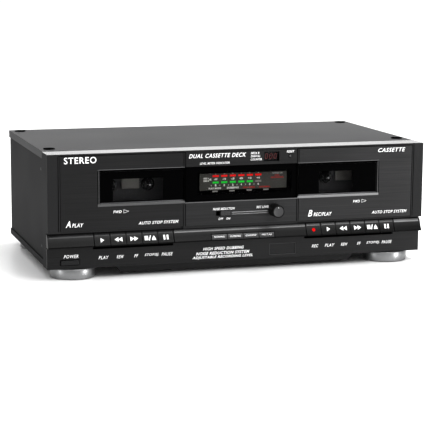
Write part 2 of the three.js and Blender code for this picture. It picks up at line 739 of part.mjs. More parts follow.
// Hub, table, shaft through the plate and the gear behind it.
function reelSpindle() {
  const profile = [
    [0, REEL_TIP_Y],
    [1.6, REEL_TIP_Y],
    [2.6, REEL_TIP_Y + 2],
    [REEL_HUB, REEL_TIP_Y + 3.5],
    [REEL_HUB, PLATE_Y - 2.6],
    [REEL_TABLE, PLATE_Y - 2],
    [REEL_TABLE, PLATE_Y - 0.6],
    [REEL_SHAFT, PLATE_Y - 0.6],
    [REEL_SHAFT, plateBackY + 0.6],
    [REEL_GEAR, plateBackY + 0.6],
    [REEL_GEAR, plateBackY + 3],
    [0, plateBackY + 3],
  ];
  return turnY(profile, 16);
}

function flywheel() {
  const profile = [
    [0, CAPSTAN_TIP_Y],
    [CAPSTAN, CAPSTAN_TIP_Y],
    [CAPSTAN, FLYWHEEL_Y],
    [FLYWHEEL, FLYWHEEL_Y],
    [FLYWHEEL, FLYWHEEL_Y + FLYWHEEL_THICK],
    [CAPSTAN * 2, FLYWHEEL_Y + FLYWHEEL_THICK],
    [CAPSTAN * 2, FLYWHEEL_Y + FLYWHEEL_THICK + 5],
    [0, FLYWHEEL_Y + FLYWHEEL_THICK + 5],
  ];
  return turnY(profile, 24);
}

// Slides up the plate and carries the head block and the pinch roller's pin.
function headSled() {
  const top = capstanZ - CAPSTAN - SLED_TRAVEL - 0.8;
  const bottom = rollerRestZ - 4.5;
  return join(
    block([-SLED_HALF, SLED_HALF], [SLED_Y, SLED_Y + SLED_THICK], [bottom, top]),
    block([-HEAD_HALF, HEAD_HALF], [tapeY - 5, SLED_Y + 0.5], [RAIL_TOP + RUNNING, FLOOR_Z - 1.2]),
    rodY(ROLLER_PIN, CAPSTAN_OFFSET, rollerRestZ, tapeY - 5.6, SLED_Y + 0.5, 10),
  );
}

function pinchRoller() {
  const wide = 8;
  return cut(
    rodY(ROLLER, 0, 0, tapeY - wide / 2, tapeY + wide / 2, 20),
    rodY(ROLLER_PIN + GAP, 0, 0, tapeY - wide, tapeY + wide, 10),
  );
}

for (const [letter, d] of Object.entries(DECKS)) {
  add(`mechanism_plate_${letter}`, mechanismPlate(letter), darkMetal);
  add(`reel_spindle_${letter}_supply`, reelSpindle(), moulding, d.x - REEL_PITCH / 2, 0, reelZ);
  add(`reel_spindle_${letter}_takeup`, reelSpindle(), moulding, d.x + REEL_PITCH / 2, 0, reelZ);
  add(`capstan_flywheel_${letter}`, flywheel(), steel, d.x + CAPSTAN_OFFSET, 0, capstanZ);
  add(`head_sled_${letter}`, headSled(), steel, d.x);
  add(`pinch_roller_${letter}`, pinchRoller(), rubber, d.x + CAPSTAN_OFFSET, 0, rollerRestZ);
}

// ---------------------------------------------------------------- motor and belt
const beltY = FLYWHEEL_Y + FLYWHEEL_THICK / 2;

// A loop round wheels listed anticlockwise, each [x, z, radius], a little clear of them.
function loop(wheels, clear, Path) {
  const path = new Path();
  const n = wheels.length;
  const leaves = wheels.map(([x, z, r], i) => {
    const [nx, nz, nr] = wheels[(i + 1) % n];
    return Math.atan2(nz - z, nx - x) - Math.acos((r - nr) / Math.hypot(nx - x, nz - z));
  });
  wheels.forEach(([x, z, r], i) => {
    path.absarc(x, z, r + clear, leaves[(i + n - 1) % n], leaves[i], false);
  });
  path.closePath();
  return path;
}

function driveBelt() {
  const wheels = [
    [DECKS.a.x + CAPSTAN_OFFSET, capstanZ, FLYWHEEL],
    [DECKS.b.x + CAPSTAN_OFFSET, capstanZ, FLYWHEEL],
    [MOTOR_X, MOTOR_Z, PULLEY],
  ];
  const outline = loop(wheels, GAP + BELT, THREE.Shape);
  outline.holes.push(loop(wheels, GAP, THREE.Path));
  return pullY(outline, beltY - BELT / 2, beltY + BELT / 2, 14);
}

const motorFront = motorBack - MOTOR_LENGTH;

add("drive_belt", driveBelt(), rubber);
add("motor", rodY(MOTOR_RADIUS, 0, 0, motorFront, motorBack, 24), steel, MOTOR_X, 0, MOTOR_Z);
add("motor_pulley", rodY(PULLEY, 0, 0, beltY - 3, motorFront - GAP), brass, MOTOR_X, 0, MOTOR_Z);

// ---------------------------------------------------------------- electronics and sockets
function mainBoard() {
  const back = rearWallBack - BOARD.fromBack;
  const board = block(about(BOARD.x, BOARD.width), [back - BOARD.depth, back], about(BOARD.z, BOARD.thick));
  const top = BOARD.z + BOARD.thick / 2 - 0.1;
  const sink = block(about(BOARD.x - 60, 40), about(back - 20, 3), [top, top + 30]);
  const cans = [0, 1, 2].map((i) => {
    const can = new THREE.CylinderGeometry(6, 6, 22, 12).rotateX(Math.PI / 2);
    return solidOf(can.translate(BOARD.x - 90, back - 75 + i * 18, top + 11));
  });
  const posts = [-1, 1].flatMap((i) =>
    [8, BOARD.depth - 8].map((y) =>
      block(
        about(BOARD.x + i * (BOARD.width / 2 - 8), BOARD.post),
        about(back - y, BOARD.post),
        [SHEET + GAP, BOARD.z],
      ),
    ),
  );
  return join(board, sink, ...cans, ...posts);
}

function transformer() {
  const back = rearWallBack - CORE.fromBack;
  const middle = (CORE.height + SHEET) / 2;
  return join(
    block(about(CORE.x, CORE.width), about(back, CORE.depth * 0.5), [SHEET + GAP, CORE.height]),
    block(about(CORE.x, CORE.width * 0.62), about(back, CORE.depth), about(middle, CORE.height * 0.65)),
  );
}

function jackBlock() {
  const face = CASE_DEPTH - SHEET;
  const wide = JACK_GRID.x + 2 * JACK_GRID.margin;
  const tall = JACK_GRID.z + 2 * JACK_GRID.margin;
  const centres = [-1, 1].flatMap((i) =>
    [-1, 1].map((k) => [(i * JACK_GRID.x) / 2, (k * JACK_GRID.z) / 2]),
  );
  return cut(
    join(
      block(about(0, wide), [face, face + JACK_GRID.plate], about(0, tall)),
      ...centres.map(([x, z]) => rodY(JACK.radius, x, z, face - 4, CASE_DEPTH + JACK.proud, 18)),
    ),
    ...centres.map(([x, z]) => rodY(JACK.hole, x, z, face, CASE_DEPTH + JACK.proud + 1, 10)),
  );
}

// A two-pin mains inlet: a cup with a flange outside the rear wall.
function mainsInlet() {
  const face = CASE_DEPTH - SHEET;
  const outer = [INLET.width + 2 * INLET.wall, INLET.height + 2 * INLET.wall];
  const floor = face - INLET.deep;
  const cup = cut(
    join(
      block(about(0, outer[0]), [floor - INLET.wall, face + 0.5], about(0, outer[1])),
      block(
        about(0, outer[0] + 2 * INLET_FLANGE.wide),
        [face, face + INLET_FLANGE.thick],
        about(0, outer[1] + 2 * INLET_FLANGE.wide),
      ),
    ),
    block(about(0, INLET.width), [floor, face + 5], about(0, INLET.height)),
  );
  const pins = [-1, 1].map((s) =>
    rodY(INLET_PIN.radius, s * INLET_PIN.spread, 0, floor - 1, floor + INLET_PIN.length, 10),
  );
  return join(cup, ...pins);
}

add("main_board", mainBoard(), circuitGreen);
add("transformer", transformer(), ironCore);
add("jack_block", jackBlock(), moulding, JACK.x, 0, JACK.z);
add("mains_inlet", mainsInlet(), moulding, INLET.x, 0, INLET.z);

export default shift;
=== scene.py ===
import math

import bmesh
import bpy
from mathutils import Matrix, Vector
from mathutils.bvhtree import BVHTree


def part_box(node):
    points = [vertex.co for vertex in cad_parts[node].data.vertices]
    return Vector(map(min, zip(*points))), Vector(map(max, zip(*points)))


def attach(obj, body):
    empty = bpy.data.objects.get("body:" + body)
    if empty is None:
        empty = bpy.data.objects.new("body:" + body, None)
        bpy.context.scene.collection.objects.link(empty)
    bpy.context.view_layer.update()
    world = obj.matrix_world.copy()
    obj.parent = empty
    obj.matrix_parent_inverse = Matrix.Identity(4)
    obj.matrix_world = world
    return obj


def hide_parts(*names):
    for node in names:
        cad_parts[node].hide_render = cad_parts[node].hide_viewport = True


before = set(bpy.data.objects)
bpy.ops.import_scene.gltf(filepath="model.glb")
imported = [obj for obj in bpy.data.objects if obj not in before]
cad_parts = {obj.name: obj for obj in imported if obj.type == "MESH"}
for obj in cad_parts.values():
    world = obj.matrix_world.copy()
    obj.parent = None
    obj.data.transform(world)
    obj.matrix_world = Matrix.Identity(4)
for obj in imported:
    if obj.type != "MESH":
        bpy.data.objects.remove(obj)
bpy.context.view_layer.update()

# ---------------------------------------------------------------- places, from the CAD nodes
# Lengths below are in millimetres: x from the middle, y behind the fascia's front, z above its underside.
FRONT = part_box("upper_plate")[0].y
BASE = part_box("fascia_frame")[0].z


def at(x, y, z):
    return Vector((x / 1000, FRONT + y / 1000, BASE + z / 1000))


def span(node):
    """A node's box in the layout's millimetres."""
    lo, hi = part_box(node)
    low = (lo.x * 1000, (lo.y - FRONT) * 1000, (lo.z - BASE) * 1000)
    high = (hi.x * 1000, (hi.y - FRONT) * 1000, (hi.z - BASE) * 1000)
    return low, high


def middle(node):
    lo, hi = span(node)
    return [(a + b) / 2 for a, b in zip(lo, hi)]


# ---------------------------------------------------------------- materials
def material(name, color, rough, metallic=0.0, grain=(1, 1, 1), scale=600.0, detail=3.0, vary=0.12,
             rough_vary=0.08, bump=0.15, depth=0.00004, cloud=9.0, **sockets):
    """A surface with a fine grain (stretched by grain), cloudy wear, and a bump from the grain."""
    m = bpy.data.materials.new(name)
    m.use_nodes = True
    nt = m.node_tree
    shader = nt.nodes["Principled BSDF"]
    coord = nt.nodes.new("ShaderNodeTexCoord")
    stretch = nt.nodes.new("ShaderNodeMapping")
    stretch.inputs["Scale"].default_value = grain
    fine = nt.nodes.new("ShaderNodeTexNoise")
    fine.inputs["Scale"].default_value = scale
    fine.inputs["Detail"].default_value = detail
    broad = nt.nodes.new("ShaderNodeTexNoise")
    broad.inputs["Scale"].default_value = cloud
    broad.inputs["Detail"].default_value = 2.0
    nt.links.new(coord.outputs["Object"], stretch.inputs["Vector"])
    nt.links.new(stretch.outputs["Vector"], fine.inputs["Vector"])
    nt.links.new(coord.outputs["Object"], broad.inputs["Vector"])
    both = nt.nodes.new("ShaderNodeMath")
    both.operation = "MULTIPLY_ADD"
    nt.links.new(broad.outputs["Fac"], both.inputs[0])
    both.inputs[1].default_value = 0.5
    half = nt.nodes.new("ShaderNodeMath")
    half.operation = "MULTIPLY"
    nt.links.new(fine.outputs["Fac"], half.inputs[0])
    half.inputs[1].default_value = 0.5
    nt.links.new(half.outputs[0], both.inputs[2])
    ramp = nt.nodes.new("ShaderNodeValToRGB")
    ramp.color_ramp.elements[0].position = 0.3
    ramp.color_ramp.elements[1].position = 0.7
    ramp.color_ramp.elements[0].color = (*[c * (1 - vary) for c in color], 1)
    ramp.color_ramp.elements[1].color = (*[min(1, c * (1 + vary)) for c in color], 1)
    nt.links.new(both.outputs[0], ramp.inputs["Fac"])
    nt.links.new(ramp.outputs["Color"], shader.inputs["Base Color"])
    rough_range = nt.nodes.new("ShaderNodeMapRange")
    rough_range.inputs["From Min"].default_value = 0.25
    rough_range.inputs["From Max"].default_value = 0.75
    rough_range.inputs["To Min"].default_value = max(0.02, rough - rough_vary)
    rough_range.inputs["To Max"].default_value = min(1.0, rough + rough_vary)
    nt.links.new(both.outputs[0], rough_range.inputs["Value"])
    nt.links.new(rough_range.outputs["Result"], shader.inputs["Roughness"])
    if bump:
        b = nt.nodes.new("ShaderNodeBump")
        b.inputs["Strength"].default_value = bump
        b.inputs["Distance"].default_value = depth
        nt.links.new(fine.outputs["Fac"], b.inputs["Height"])
        nt.links.new(b.outputs["Normal"], shader.inputs["Normal"])
    shader.inputs["Metallic"].default_value = metallic
    for key, value in sockets.items():
        shader.inputs[key.replace("_", " ")].default_value = value
    return m


def shaded_by_height(m, low, high, below):
    """Painted shade: between two heights, in metres, the colour runs from another colour below up to the
    material's own.
    """
    nt = m.node_tree
    shader = nt.nodes["Principled BSDF"]
    place = nt.nodes.new("ShaderNodeTexCoord")
    split = nt.nodes.new("ShaderNodeSeparateXYZ")
    nt.links.new(place.outputs["Object"], split.inputs["Vector"])
    rise = nt.nodes.new("ShaderNodeMapRange")
    rise.inputs["From Min"].default_value = low
    rise.inputs["From Max"].default_value = high
    nt.links.new(split.outputs["Z"], rise.inputs["Value"])
    mix = nt.nodes.new("ShaderNodeMix")
    mix.data_type = "RGBA"
    ends = [s for s in mix.inputs if s.enabled and s.name in ("A", "B")]
    out = [s for s in mix.outputs if s.enabled][0]
    nt.links.new(rise.outputs["Result"], mix.inputs[0])
    ends[0].default_value = (*below, 1)
    nt.links.new(shader.inputs["Base Color"].links[0].from_socket, ends[1])
    nt.links.new(out, shader.inputs["Base Color"])
    return m


HAIR = (14, 14, 1100)  # noise squeezed in z, so that it runs as level lines
m_cover = material("cover_paint", (0.022, 0.022, 0.023), 0.5, scale=1500, vary=0.15, bump=0.35,
                   depth=0.00005, cloud=5, Specular_IOR_Level=0.14)
m_side = material("side_paint", (0.019, 0.019, 0.0195), 0.5, scale=1500, vary=0.15, bump=0.3, depth=0.00005,
                  Specular_IOR_Level=0.02)
FINE_LINES = dict(grain=HAIR, scale=1.0, detail=5, vary=0.5, rough_vary=0.12, bump=0.3, depth=0.00003,
                  cloud=6, Specular_IOR_Level=0.2)
m_hair = material("hairline_black", (0.0095, 0.0095, 0.0098), 0.36, **FINE_LINES)
# painted light: a lighter copy of the hairline black, for the right door and the column's lower plate, where
# more light falls
m_hair_painted_light = material("hairline_black_painted_light", (0.0165, 0.0165, 0.017), 0.36, **FINE_LINES)
m_frame = material("frame_black", (0.009, 0.009, 0.0095), 0.2, scale=1800, vary=0.2, rough_vary=0.04,
                   bump=0.1, depth=0.00002, Specular_IOR_Level=0.24)
m_matte = material("matte_black", (0.0009, 0.0009, 0.0009), 0.9, scale=900, vary=0.25, bump=0.2,
                   Specular_IOR_Level=0.0)
m_skirt = material("knob_black", (0.003, 0.003, 0.003), 0.5, scale=1500, vary=0.2, bump=0.2,
                   Specular_IOR_Level=0.1)
m_mould = material("moulded_black", (0.0105, 0.0105, 0.011), 0.34, scale=1800, vary=0.2, bump=0.3,
                   depth=0.00004, Specular_IOR_Level=0.2)
m_gloss = material("gloss_black", (0.006, 0.006, 0.0065), 0.22, scale=900, vary=0.2, rough_vary=0.04,
                   bump=0.08, depth=0.00002, Specular_IOR_Level=0.5)
m_crown = material("polished_crown", (0.018, 0.018, 0.019), 0.3, scale=1600, vary=0.2, bump=0.15,
                   depth=0.00003, Specular_IOR_Level=0.3)
# painted light: a lighter copy of the polished crown, for the keys and the bar towards the right, where more
# light falls
m_crown_painted_light = material("polished_crown_painted_light", (0.07, 0.07, 0.071), 0.25, scale=1600, vary=0.2, bump=0.15,
                       depth=0.00003, Specular_IOR_Level=0.5)
# painted shade: the keys and the bar are darker below their rounded tops, which take the light
m_bar_painted_shade = shaded_by_height(
    material("key_black_painted_shade", (0.02, 0.02, 0.02), 0.3, scale=1600, vary=0.25, rough_vary=0.05, bump=0.25,
             depth=0.00003, Specular_IOR_Level=0.09),
    BASE + 0.0285, BASE + 0.034, (0.0015, 0.0015, 0.0015))
m_border = material("printed_border", (0.0008, 0.0008, 0.0009), 0.3, scale=300, rough_vary=0.02, vary=0.2,
                    bump=0, Specular_IOR_Level=0.01)
m_lens = material("smoked_acrylic", (0.001, 0.001, 0.0012), 0.06, scale=300, rough_vary=0.01, vary=0.2,
                  bump=0, Alpha=0.3, Specular_IOR_Level=0.03)
m_lens.surface_render_method = "BLENDED"
m_silver = material("turned_silver", (0.26, 0.262, 0.265), 0.36, 1.0, grain=(1, 1, 9), scale=420, vary=0.06,
                    rough_vary=0.07, bump=0.1, depth=0.00003)
m_steel = material("ground_steel", (0.42, 0.43, 0.44), 0.3, 1.0, grain=(1, 12, 1), scale=500, vary=0.15,
                   bump=0.15)
m_chrome = material("bright_chrome", (0.7, 0.7, 0.71), 0.1, 1.0, scale=300, vary=0.05, rough_vary=0.03,
                    bump=0.03)
m_brass = material("turned_brass", (0.55, 0.37, 0.14), 0.3, 1.0, scale=700, vary=0.12, bump=0.1)
m_rubber = material("rubber", (0.009, 0.009, 0.009), 0.75, scale=900, vary=0.25, bump=0.4, depth=0.00008)
m_plate = material("mechanism_metal", (0.045, 0.046, 0.048), 0.42, 0.6, scale=900, vary=0.2, bump=0.2)
m_well = material("grey_mechanism", (0.11, 0.11, 0.115), 0.5, scale=900, vary=0.2, bump=0.3)
m_strip = material("sensor_plate", (0.3, 0.29, 0.27), 0.35, 0.3, scale=900, vary=0.08, bump=0.1)
m_meter = material("meter_film", (0.1, 0.1, 0.088), 0.5, scale=1200, vary=0.12, bump=0.05)
m_board = material("solder_mask", (0.012, 0.055, 0.022), 0.35, scale=500, vary=0.25, bump=0.15)
m_iron = material("laminated_iron", (0.05, 0.045, 0.042), 0.55, 0.6, grain=(900, 1, 1), scale=1.0, vary=0.3,
                  bump=0.3, depth=0.0001)
m_white = material("white_ink", (0.86, 0.86, 0.86), 0.5, scale=900, vary=0.03, bump=0.05)
m_knob = material("knob_face", (0.034, 0.034, 0.035), 0.32, grain=(1, 1, 30), scale=60, vary=0.12, bump=0.05,
                  Specular_IOR_Level=0.4)
m_slide = material("slider_grey", (0.045, 0.045, 0.046), 0.4, scale=1500, vary=0.15, bump=0.1,
                   Specular_IOR_Level=0.3)
# painted highlight: a light grey for thin lines and ridges that stand for lit edges
m_painted_highlight = material("painted_highlight_grey", (0.1, 0.1, 0.102), 0.3, scale=900, vary=0.1, bump=0.05, Specular_IOR_Level=0.5)
# painted light and shade: a light copy of the brushed ledge, for the right window and the bar's right end,
# and a dim copy for the left window
m_ledge_painted_light = material("brushed_ledge_painted_light", (0.17, 0.17, 0.172), 0.28, grain=HAIR, scale=1.0, vary=0.2, bump=0.1,
                   Specular_IOR_Level=0.5)
m_dim_ledge_painted_shade = material("dim_ledge_painted_shade", (0.06, 0.06, 0.061), 0.3, grain=HAIR, scale=1.0, vary=0.25,
                       bump=0.1, Specular_IOR_Level=0.5)
m_edge = material("polished_edge", (0.05, 0.05, 0.052), 0.12, scale=900, vary=0.1, rough_vary=0.03,
                  bump=0.03, Specular_IOR_Level=1.0)
m_print = material("lit_print", (0.8, 0.8, 0.76), 0.5, scale=900, vary=0.04, bump=0.05,
                   Emission_Color=(1, 1, 0.95, 1), Emission_Strength=0.6)
m_grey_ink = material("grey_ink", (0.55, 0.55, 0.52), 0.5, scale=900, vary=0.05, bump=0.05)
m_red_ink = material("red_ink", (0.45, 0.03, 0.02), 0.5, scale=900, vary=0.05, bump=0.05,
                     Emission_Color=(1, 0.06, 0.04, 1), Emission_Strength=0.35)
m_red_mark = material("red_mark", (0.5, 0.004, 0.004), 0.6, scale=900, vary=0.05, bump=0.05,
                      Specular_IOR_Level=0.03)
m_red_plastic = material("red_plastic", (0.5, 0.006, 0.006), 0.3, scale=600, vary=0.08, bump=0.05)
m_white_plastic = material("white_plastic", (0.6, 0.6, 0.58), 0.35, scale=600, vary=0.05, bump=0.05)


def lamp(name, color, strength):
    return material(name, [c * 0.4 for c in color], 0.4, scale=700, vary=0.08, bump=0.02,
                    Emission_Color=(*color, 1), Emission_Strength=strength)


m_led_red = lamp("lit_red", (1.0, 0.008, 0.006), 1.3)
m_led_green = lamp("lit_green", (0.005, 0.9, 0.06), 1.1)
m_led_dim = lamp("dim_red", (0.45, 0.12, 0.12), 0.35)
m_led_off = material("unlit_lamp", (0.42, 0.42, 0.38), 0.4, scale=700, vary=0.1, bump=0.03)

# ---------------------------------------------------------------- CAD nodes: softened edges and materials
LOOK = {
    "top_cover": (m_cover, 0.35), "side_panel_left": (m_side, 0.2), "side_panel_right": (m_side, 0.2),
    "chassis_tray": (m_side, 0.2), "fascia_frame": (m_frame, 1.6), "lower_fascia": (m_hair, 0.5),
    "trim_bar": (m_bar_painted_shade, 0.35), "upper_plate": (m_hair, 0.4), "lower_plate": (m_hair, 0.4),
    "display_lens": (m_lens, 0.15), "meter_panel": (m_meter, 0.1), "key_pivot_rod": (m_steel, 0.2),
    "power_button": (m_mould, 0.5), "drive_belt": (m_rubber, 0.2), "motor": (m_steel, 0.8),
    "motor_pulley": (m_brass, 0.3), "main_board": (m_board, 0.2), "transformer": (m_iron, 0.6),
    "jack_block": (m_mould, 0.4), "mains_inlet": (m_mould, 0.5),
}


def look_of(name):
    if name in LOOK:
        return LOOK[name]
    if name.startswith("door_window"):
        return m_lens, 0.15
    for start, look in (
        ("door_", (m_hair, 0.5)), ("cassette_holder", (m_matte, 0.3)), ("key_", (m_bar_painted_shade, 0.45)),
        ("selector", (m_gloss, 0.4)), ("mechanism_plate", (m_well, 0.25)), ("capstan", (m_steel, 0.2)),
        ("head_sled", (m_steel, 0.25)), ("pinch_roller", (m_rubber, 0.4)), ("foot_", (m_silver, 0.5)),
    ):
        if name.startswith(start):
            return look
    return m_mould, 0.3


SOFT_ANGLE = 32  # edges sharper than this, in degrees, are rounded


def soften(o, width):
    weld = o.modifiers.new("weld", "WELD")
    weld.merge_threshold = 0.00001
    flat = o.modifiers.new("flat", "DECIMATE")
    flat.decimate_type = "DISSOLVE"
    flat.angle_limit = math.radians(1.0)
    bevel = o.modifiers.new("bevel", "BEVEL")
    bevel.width = width / 1000
    bevel.segments = 3
    bevel.limit_method = "ANGLE"
    bevel.angle_limit = math.radians(SOFT_ANGLE)
    bevel.miter_outer = "MITER_ARC"
    bevel.use_clamp_overlap = True
    bevel.harden_normals = True
    weigh = o.modifiers.new("weigh", "WEIGHTED_NORMAL")
    weigh.weight = 100
    weigh.keep_sharp = True


FILM_MIDDLE = 4.2 / 1000  # the meter film, across
FILM_HALF = 0.0505

for name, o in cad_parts.items():
    look, width = look_of(name)
    o.data.materials.clear()
    o.data.materials.append(look)
    for p in o.data.polygons:
        p.use_smooth = True
        p.material_index = 0
    if name == "meter_panel":
        o.data.materials.append(m_matte)
        face = min(v.co.y for v in o.data.vertices) + 0.0002
        for p in o.data.polygons:
            p.material_index = int(p.center.y > face or abs(p.center.x - FILM_MIDDLE) > FILM_HALF)
    # painted light: the right door and the lower plate take the lighter copy of the hairline black
    if name in ("door_b", "lower_plate"):
        o.data.materials[0] = m_hair_painted_light
    if name == "fascia_frame":
        o.data.materials.append(m_side)
        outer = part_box(name)[1].x - 0.0002
        for p in o.data.polygons:
            p.material_index = int(abs(p.normal.x) > 0.9 and abs(p.center.x) > outer)
    if name == "top_cover":
        o.data.materials.append(m_matte)
        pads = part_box(name)[1].z - 0.0005
        for p in o.data.polygons:
            p.material_index = int(p.center.z > pads)
    soften(o, width)


# ---------------------------------------------------------------- pieces
def piece(name, bm, look, body, replaces=(), smooth=True, bevel=0.0):
    """A mesh as a visible piece: its body and the CAD nodes that it stands in for."""
    bmesh.ops.recalc_face_normals(bm, faces=bm.faces)
    mesh = bpy.data.meshes.new(name)
    bm.to_mesh(mesh)
    bm.free()
    mesh.materials.append(look)
    if smooth:
        for p in mesh.polygons:
            p.use_smooth = True
        mesh.set_sharp_from_angle(angle=math.radians(35))
    o = bpy.data.objects.new(name, mesh)
    bpy.context.scene.collection.objects.link(o)
    if bevel:
        b = o.modifiers.new("bevel", "BEVEL")
        b.width = bevel / 1000
        b.segments = 2
        b.limit_method = "ANGLE"
        b.harden_normals = True
    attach(o, body)
    if replaces:
        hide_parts(*replaces)


def lathe(bm, profile, centre, axis="Y", sides=64, ripple=None):
    """A closed turned solid. profile holds (radius, distance along the axis) in mm, pole to pole."""
    cx, cy, cz = centre
    rings = []
    for r, t in profile:
        ring = []
        for i in range(1 if r == 0 else sides):
            a = 2 * math.pi * i / sides
            rr = r + (ripple(a, r, t) if ripple and r else 0)
            u, v = rr * math.cos(a), rr * math.sin(a)
            turned = {"X": (t, u, v), "Y": (u, t, v), "Z": (u, v, t)}[axis]
            ring.append(bm.verts.new(at(cx + turned[0], cy + turned[1], cz + turned[2])))
        rings.append(ring)
    for one, two in zip(rings, rings[1:]):
        for i in range(sides):
            j = (i + 1) % sides
            corners = [one[i % len(one)], one[j % len(one)], two[j % len(two)], two[i % len(two)]]
            kept = [c for k, c in enumerate(corners) if c not in corners[:k]]
            if len(kept) > 2:
                bm.faces.new(kept)
    return bm


def brick(bm, x, y, z):
    corners = [bm.verts.new(at(x[i], y[j], z[k])) for i in (0, 1) for j in (0, 1) for k in (0, 1)]
    for quad in ((0, 1, 3, 2), (4, 6, 7, 5), (0, 4, 5, 1), (2, 3, 7, 6), (0, 2, 6, 4), (1, 5, 7, 3)):
        bm.faces.new([corners[i] for i in quad])


def prism(bm, outline, y_front, thick):
    """An outline in x and z, given anticlockwise, as a thin closed solid on the front."""
    front = [bm.verts.new(at(x, y_front, z)) for x, z in outline]
    back = [bm.verts.new(at(x, y_front + thick, z)) for x, z in outline]
    bm.faces.new(front)
    bm.faces.new(list(reversed(back)))
    for i in range(len(outline)):
        j = (i + 1) % len(outline)
        bm.faces.new([front[i], back[i], back[j], front[j]])


INK = 0.05  # how far lettering stands proud
BOLD = 0.014  # how much a stroke is thickened, in the font's units


def words(bm, text, x, z, y, shear=0.3, bold=BOLD):
    """Lettering from Blender's own font, fitted to a rectangle in x and z, on a face at depth y."""
    curve = bpy.data.curves.new("words", "FONT")
    curve.body = text
    curve.shear = shear
    curve.offset = bold
    curve.extrude = 0.01
    curve.resolution_u = 3
    curve.space_character = 1.12
    o = bpy.data.objects.new("words", curve)
    bpy.context.scene.collection.objects.link(o)
    bpy.context.view_layer.update()
    made = bpy.data.meshes.new_from_object(o.evaluated_get(bpy.context.evaluated_depsgraph_get()))
    bpy.data.objects.remove(o)
    bpy.data.curves.remove(curve)
    xs = [v.co.x for v in made.vertices]
    zs = [v.co.y for v in made.vertices]
    (ax, bx), (az, bz) = (min(xs), max(xs)), (min(zs), max(zs))
    for v in made.vertices:
        px = x[0] + (v.co.x - ax) / (bx - ax) * (x[1] - x[0])
        pz = z[0] + (v.co.y - az) / (bz - az) * (z[1] - z[0])
        v.co = at(px, (y - INK) if v.co.z > 0 else (y + 0.02), pz)
    bm.from_mesh(made)
    bpy.data.meshes.remove(made)


def bridge(bm, ends):
    """A closed bar between two like end faces."""
    one, two = ends
    bm.faces.new(one)
    bm.faces.new(list(reversed(two)))
    for i in range(len(one)):
        j = (i + 1) % len(one)
        bm.faces.new([one[i], one[j], two[j], two[i]])


def merged(bm):
    bmesh.ops.remove_doubles(bm, verts=bm.verts, dist=1e-7)
    return bm


STROKE = 0.14  # half the arrow's line

# Legends on the doors
for deck, big, small, auto, run in (
    ("a", ("A", (-195.8, -190.4)), ("PLAY", (-189, -176.5)), (-116.4, -71.7), (-144, -127)),
    ("b", ("B", (77.4, 82.6)), ("REC/PLAY", (84, 105.7)), (153.8, 196.5), (131, 147)),
):
    bm = bmesh.new()
    face = span(f"door_{deck}")[0][1]
    words(bm, big[0], big[1], (45.8, 53), face)
    words(bm, small[0], small[1], (45.8, 50), face)
    words(bm, "AUTO STOP SYSTEM", auto, (45.6, 48.9), face)
    words(bm, "FWD", (run[0], run[1] - 8.0), (59.1, 62.1), face, shear=0.2)
    piece(f"door_{deck}_legends", bm, m_white, f"cassette_door_{deck}", smooth=False)
    bm = bmesh.new()
    corners = [(run[1] - 5.6, 59), (run[1] - 5.6, 62.6), (run[1], 60.8)]
    for a, b in zip(corners, corners[1:] + corners[:1]):
        dx, dz = b[0] - a[0], b[1] - a[1]
        n = math.hypot(dx, dz)
        ox, oz = -dz / n * STROKE, dx / n * STROKE
        line = [(a[0] - ox, a[1] - oz), (b[0] - ox, b[1] - oz), (b[0] + ox, b[1] + oz),
                (a[0] + ox, a[1] + oz)]
        prism(bm, line, face - INK, INK + 0.02)
    piece(f"door_{deck}_arrow", bm, m_white, f"cassette_door_{deck}", smooth=False)

bm = bmesh.new()
words(bm, "STEREO", (-197, -162), (113.6, 120.6), 0, shear=0.0, bold=0.0145)
piece("series_word", bm, m_white, "cassette_door_a", smooth=False)
bm = bmesh.new()
words(bm, "CASSETTE", (160, 193), (115, 119.6), 0)
piece("type_word", bm, m_white, "cassette_door_b", smooth=False)

# Legends on the column and the lower panel
low = span("lower_fascia")[0][1]
bm = bmesh.new()
for text, x, z, y, *bold in (
    ("DUAL CASSETTE DECK", (-60.4, 4.6), (115.2, 119.8), 0),
    ("LEVEL METER INDICATOR", (-48, -14.4), (108, 110.4), 0),
    ("DECK B", (9.8, 19.5), (117.6, 120), 0),
    ("DIGITAL", (9.8, 20.8), (114.2, 116.5), 0),
    ("COUNTER", (9.8, 22.6), (110.6, 112.9), 0),
    ("RESET", (51.4, 60.4), (118, 120.6), 0),
    ("NOISE REDUCTION", (-33, -8), (57.5, 60.1), 0),
    ("REC LEVEL", (17, 31.6), (57.7, 60.4), 0),
    ("OFF", (-26.5, -21), (46.6, 49), 0),
    ("ON", (-17.6, -13), (46.6, 49), 0),
    ("POWER", (-197, -181), (11.6, 15.2), low),
    ("HIGH SPEED DUBBING", (-42, 5), (12.3, 15.6), low, 0.024),
    ("NOISE REDUCTION SYSTEM", (-50, 11.6), (7.2, 10.6), low, 0.024),
    ("ADJUSTABLE RECORDING LEVEL", (-54, 15.5), (2.4, 6.1), low, 0.024),
    ("PLAY", (-159, -147.6), (8.7, 12.3), low),
    ("REW", (-139, -131), (8.7, 12.2), low),
    ("FF", (-119.6, -115), (8.8, 12.3), low),
    ("STOP/EJ.", (-108, -92), (8.8, 12.4), low),
    ("PAUSE", (-89, -76.4), (8.9, 12.6), low),
    ("REC", (85, 93), (9.3, 12.7), low),
    ("PLAY", (100.6, 112.4), (9.3, 12.8), low),
    ("REW", (120, 128), (9.4, 12.8), low),
    ("FF", (139.6, 144), (9.5, 12.9), low),
    ("STOP/EJ.", (151, 167), (9.5, 13), low),
    ("PAUSE", (169.6, 182), (9.6, 13.1), low),
):
    words(bm, text, x, z, y, bold=bold[0] if bold else BOLD)
piece("panel_legends", bm, m_white, "chassis", smooth=False)


# Symbols on the keys, laid on their curved fronts
AHEAD = -60  # where the probe starts, in front of everything
MISSED = 6.0  # the depth taken where the probe meets nothing
LEVEL = 0.4  # height of the level strips that follow a curved front


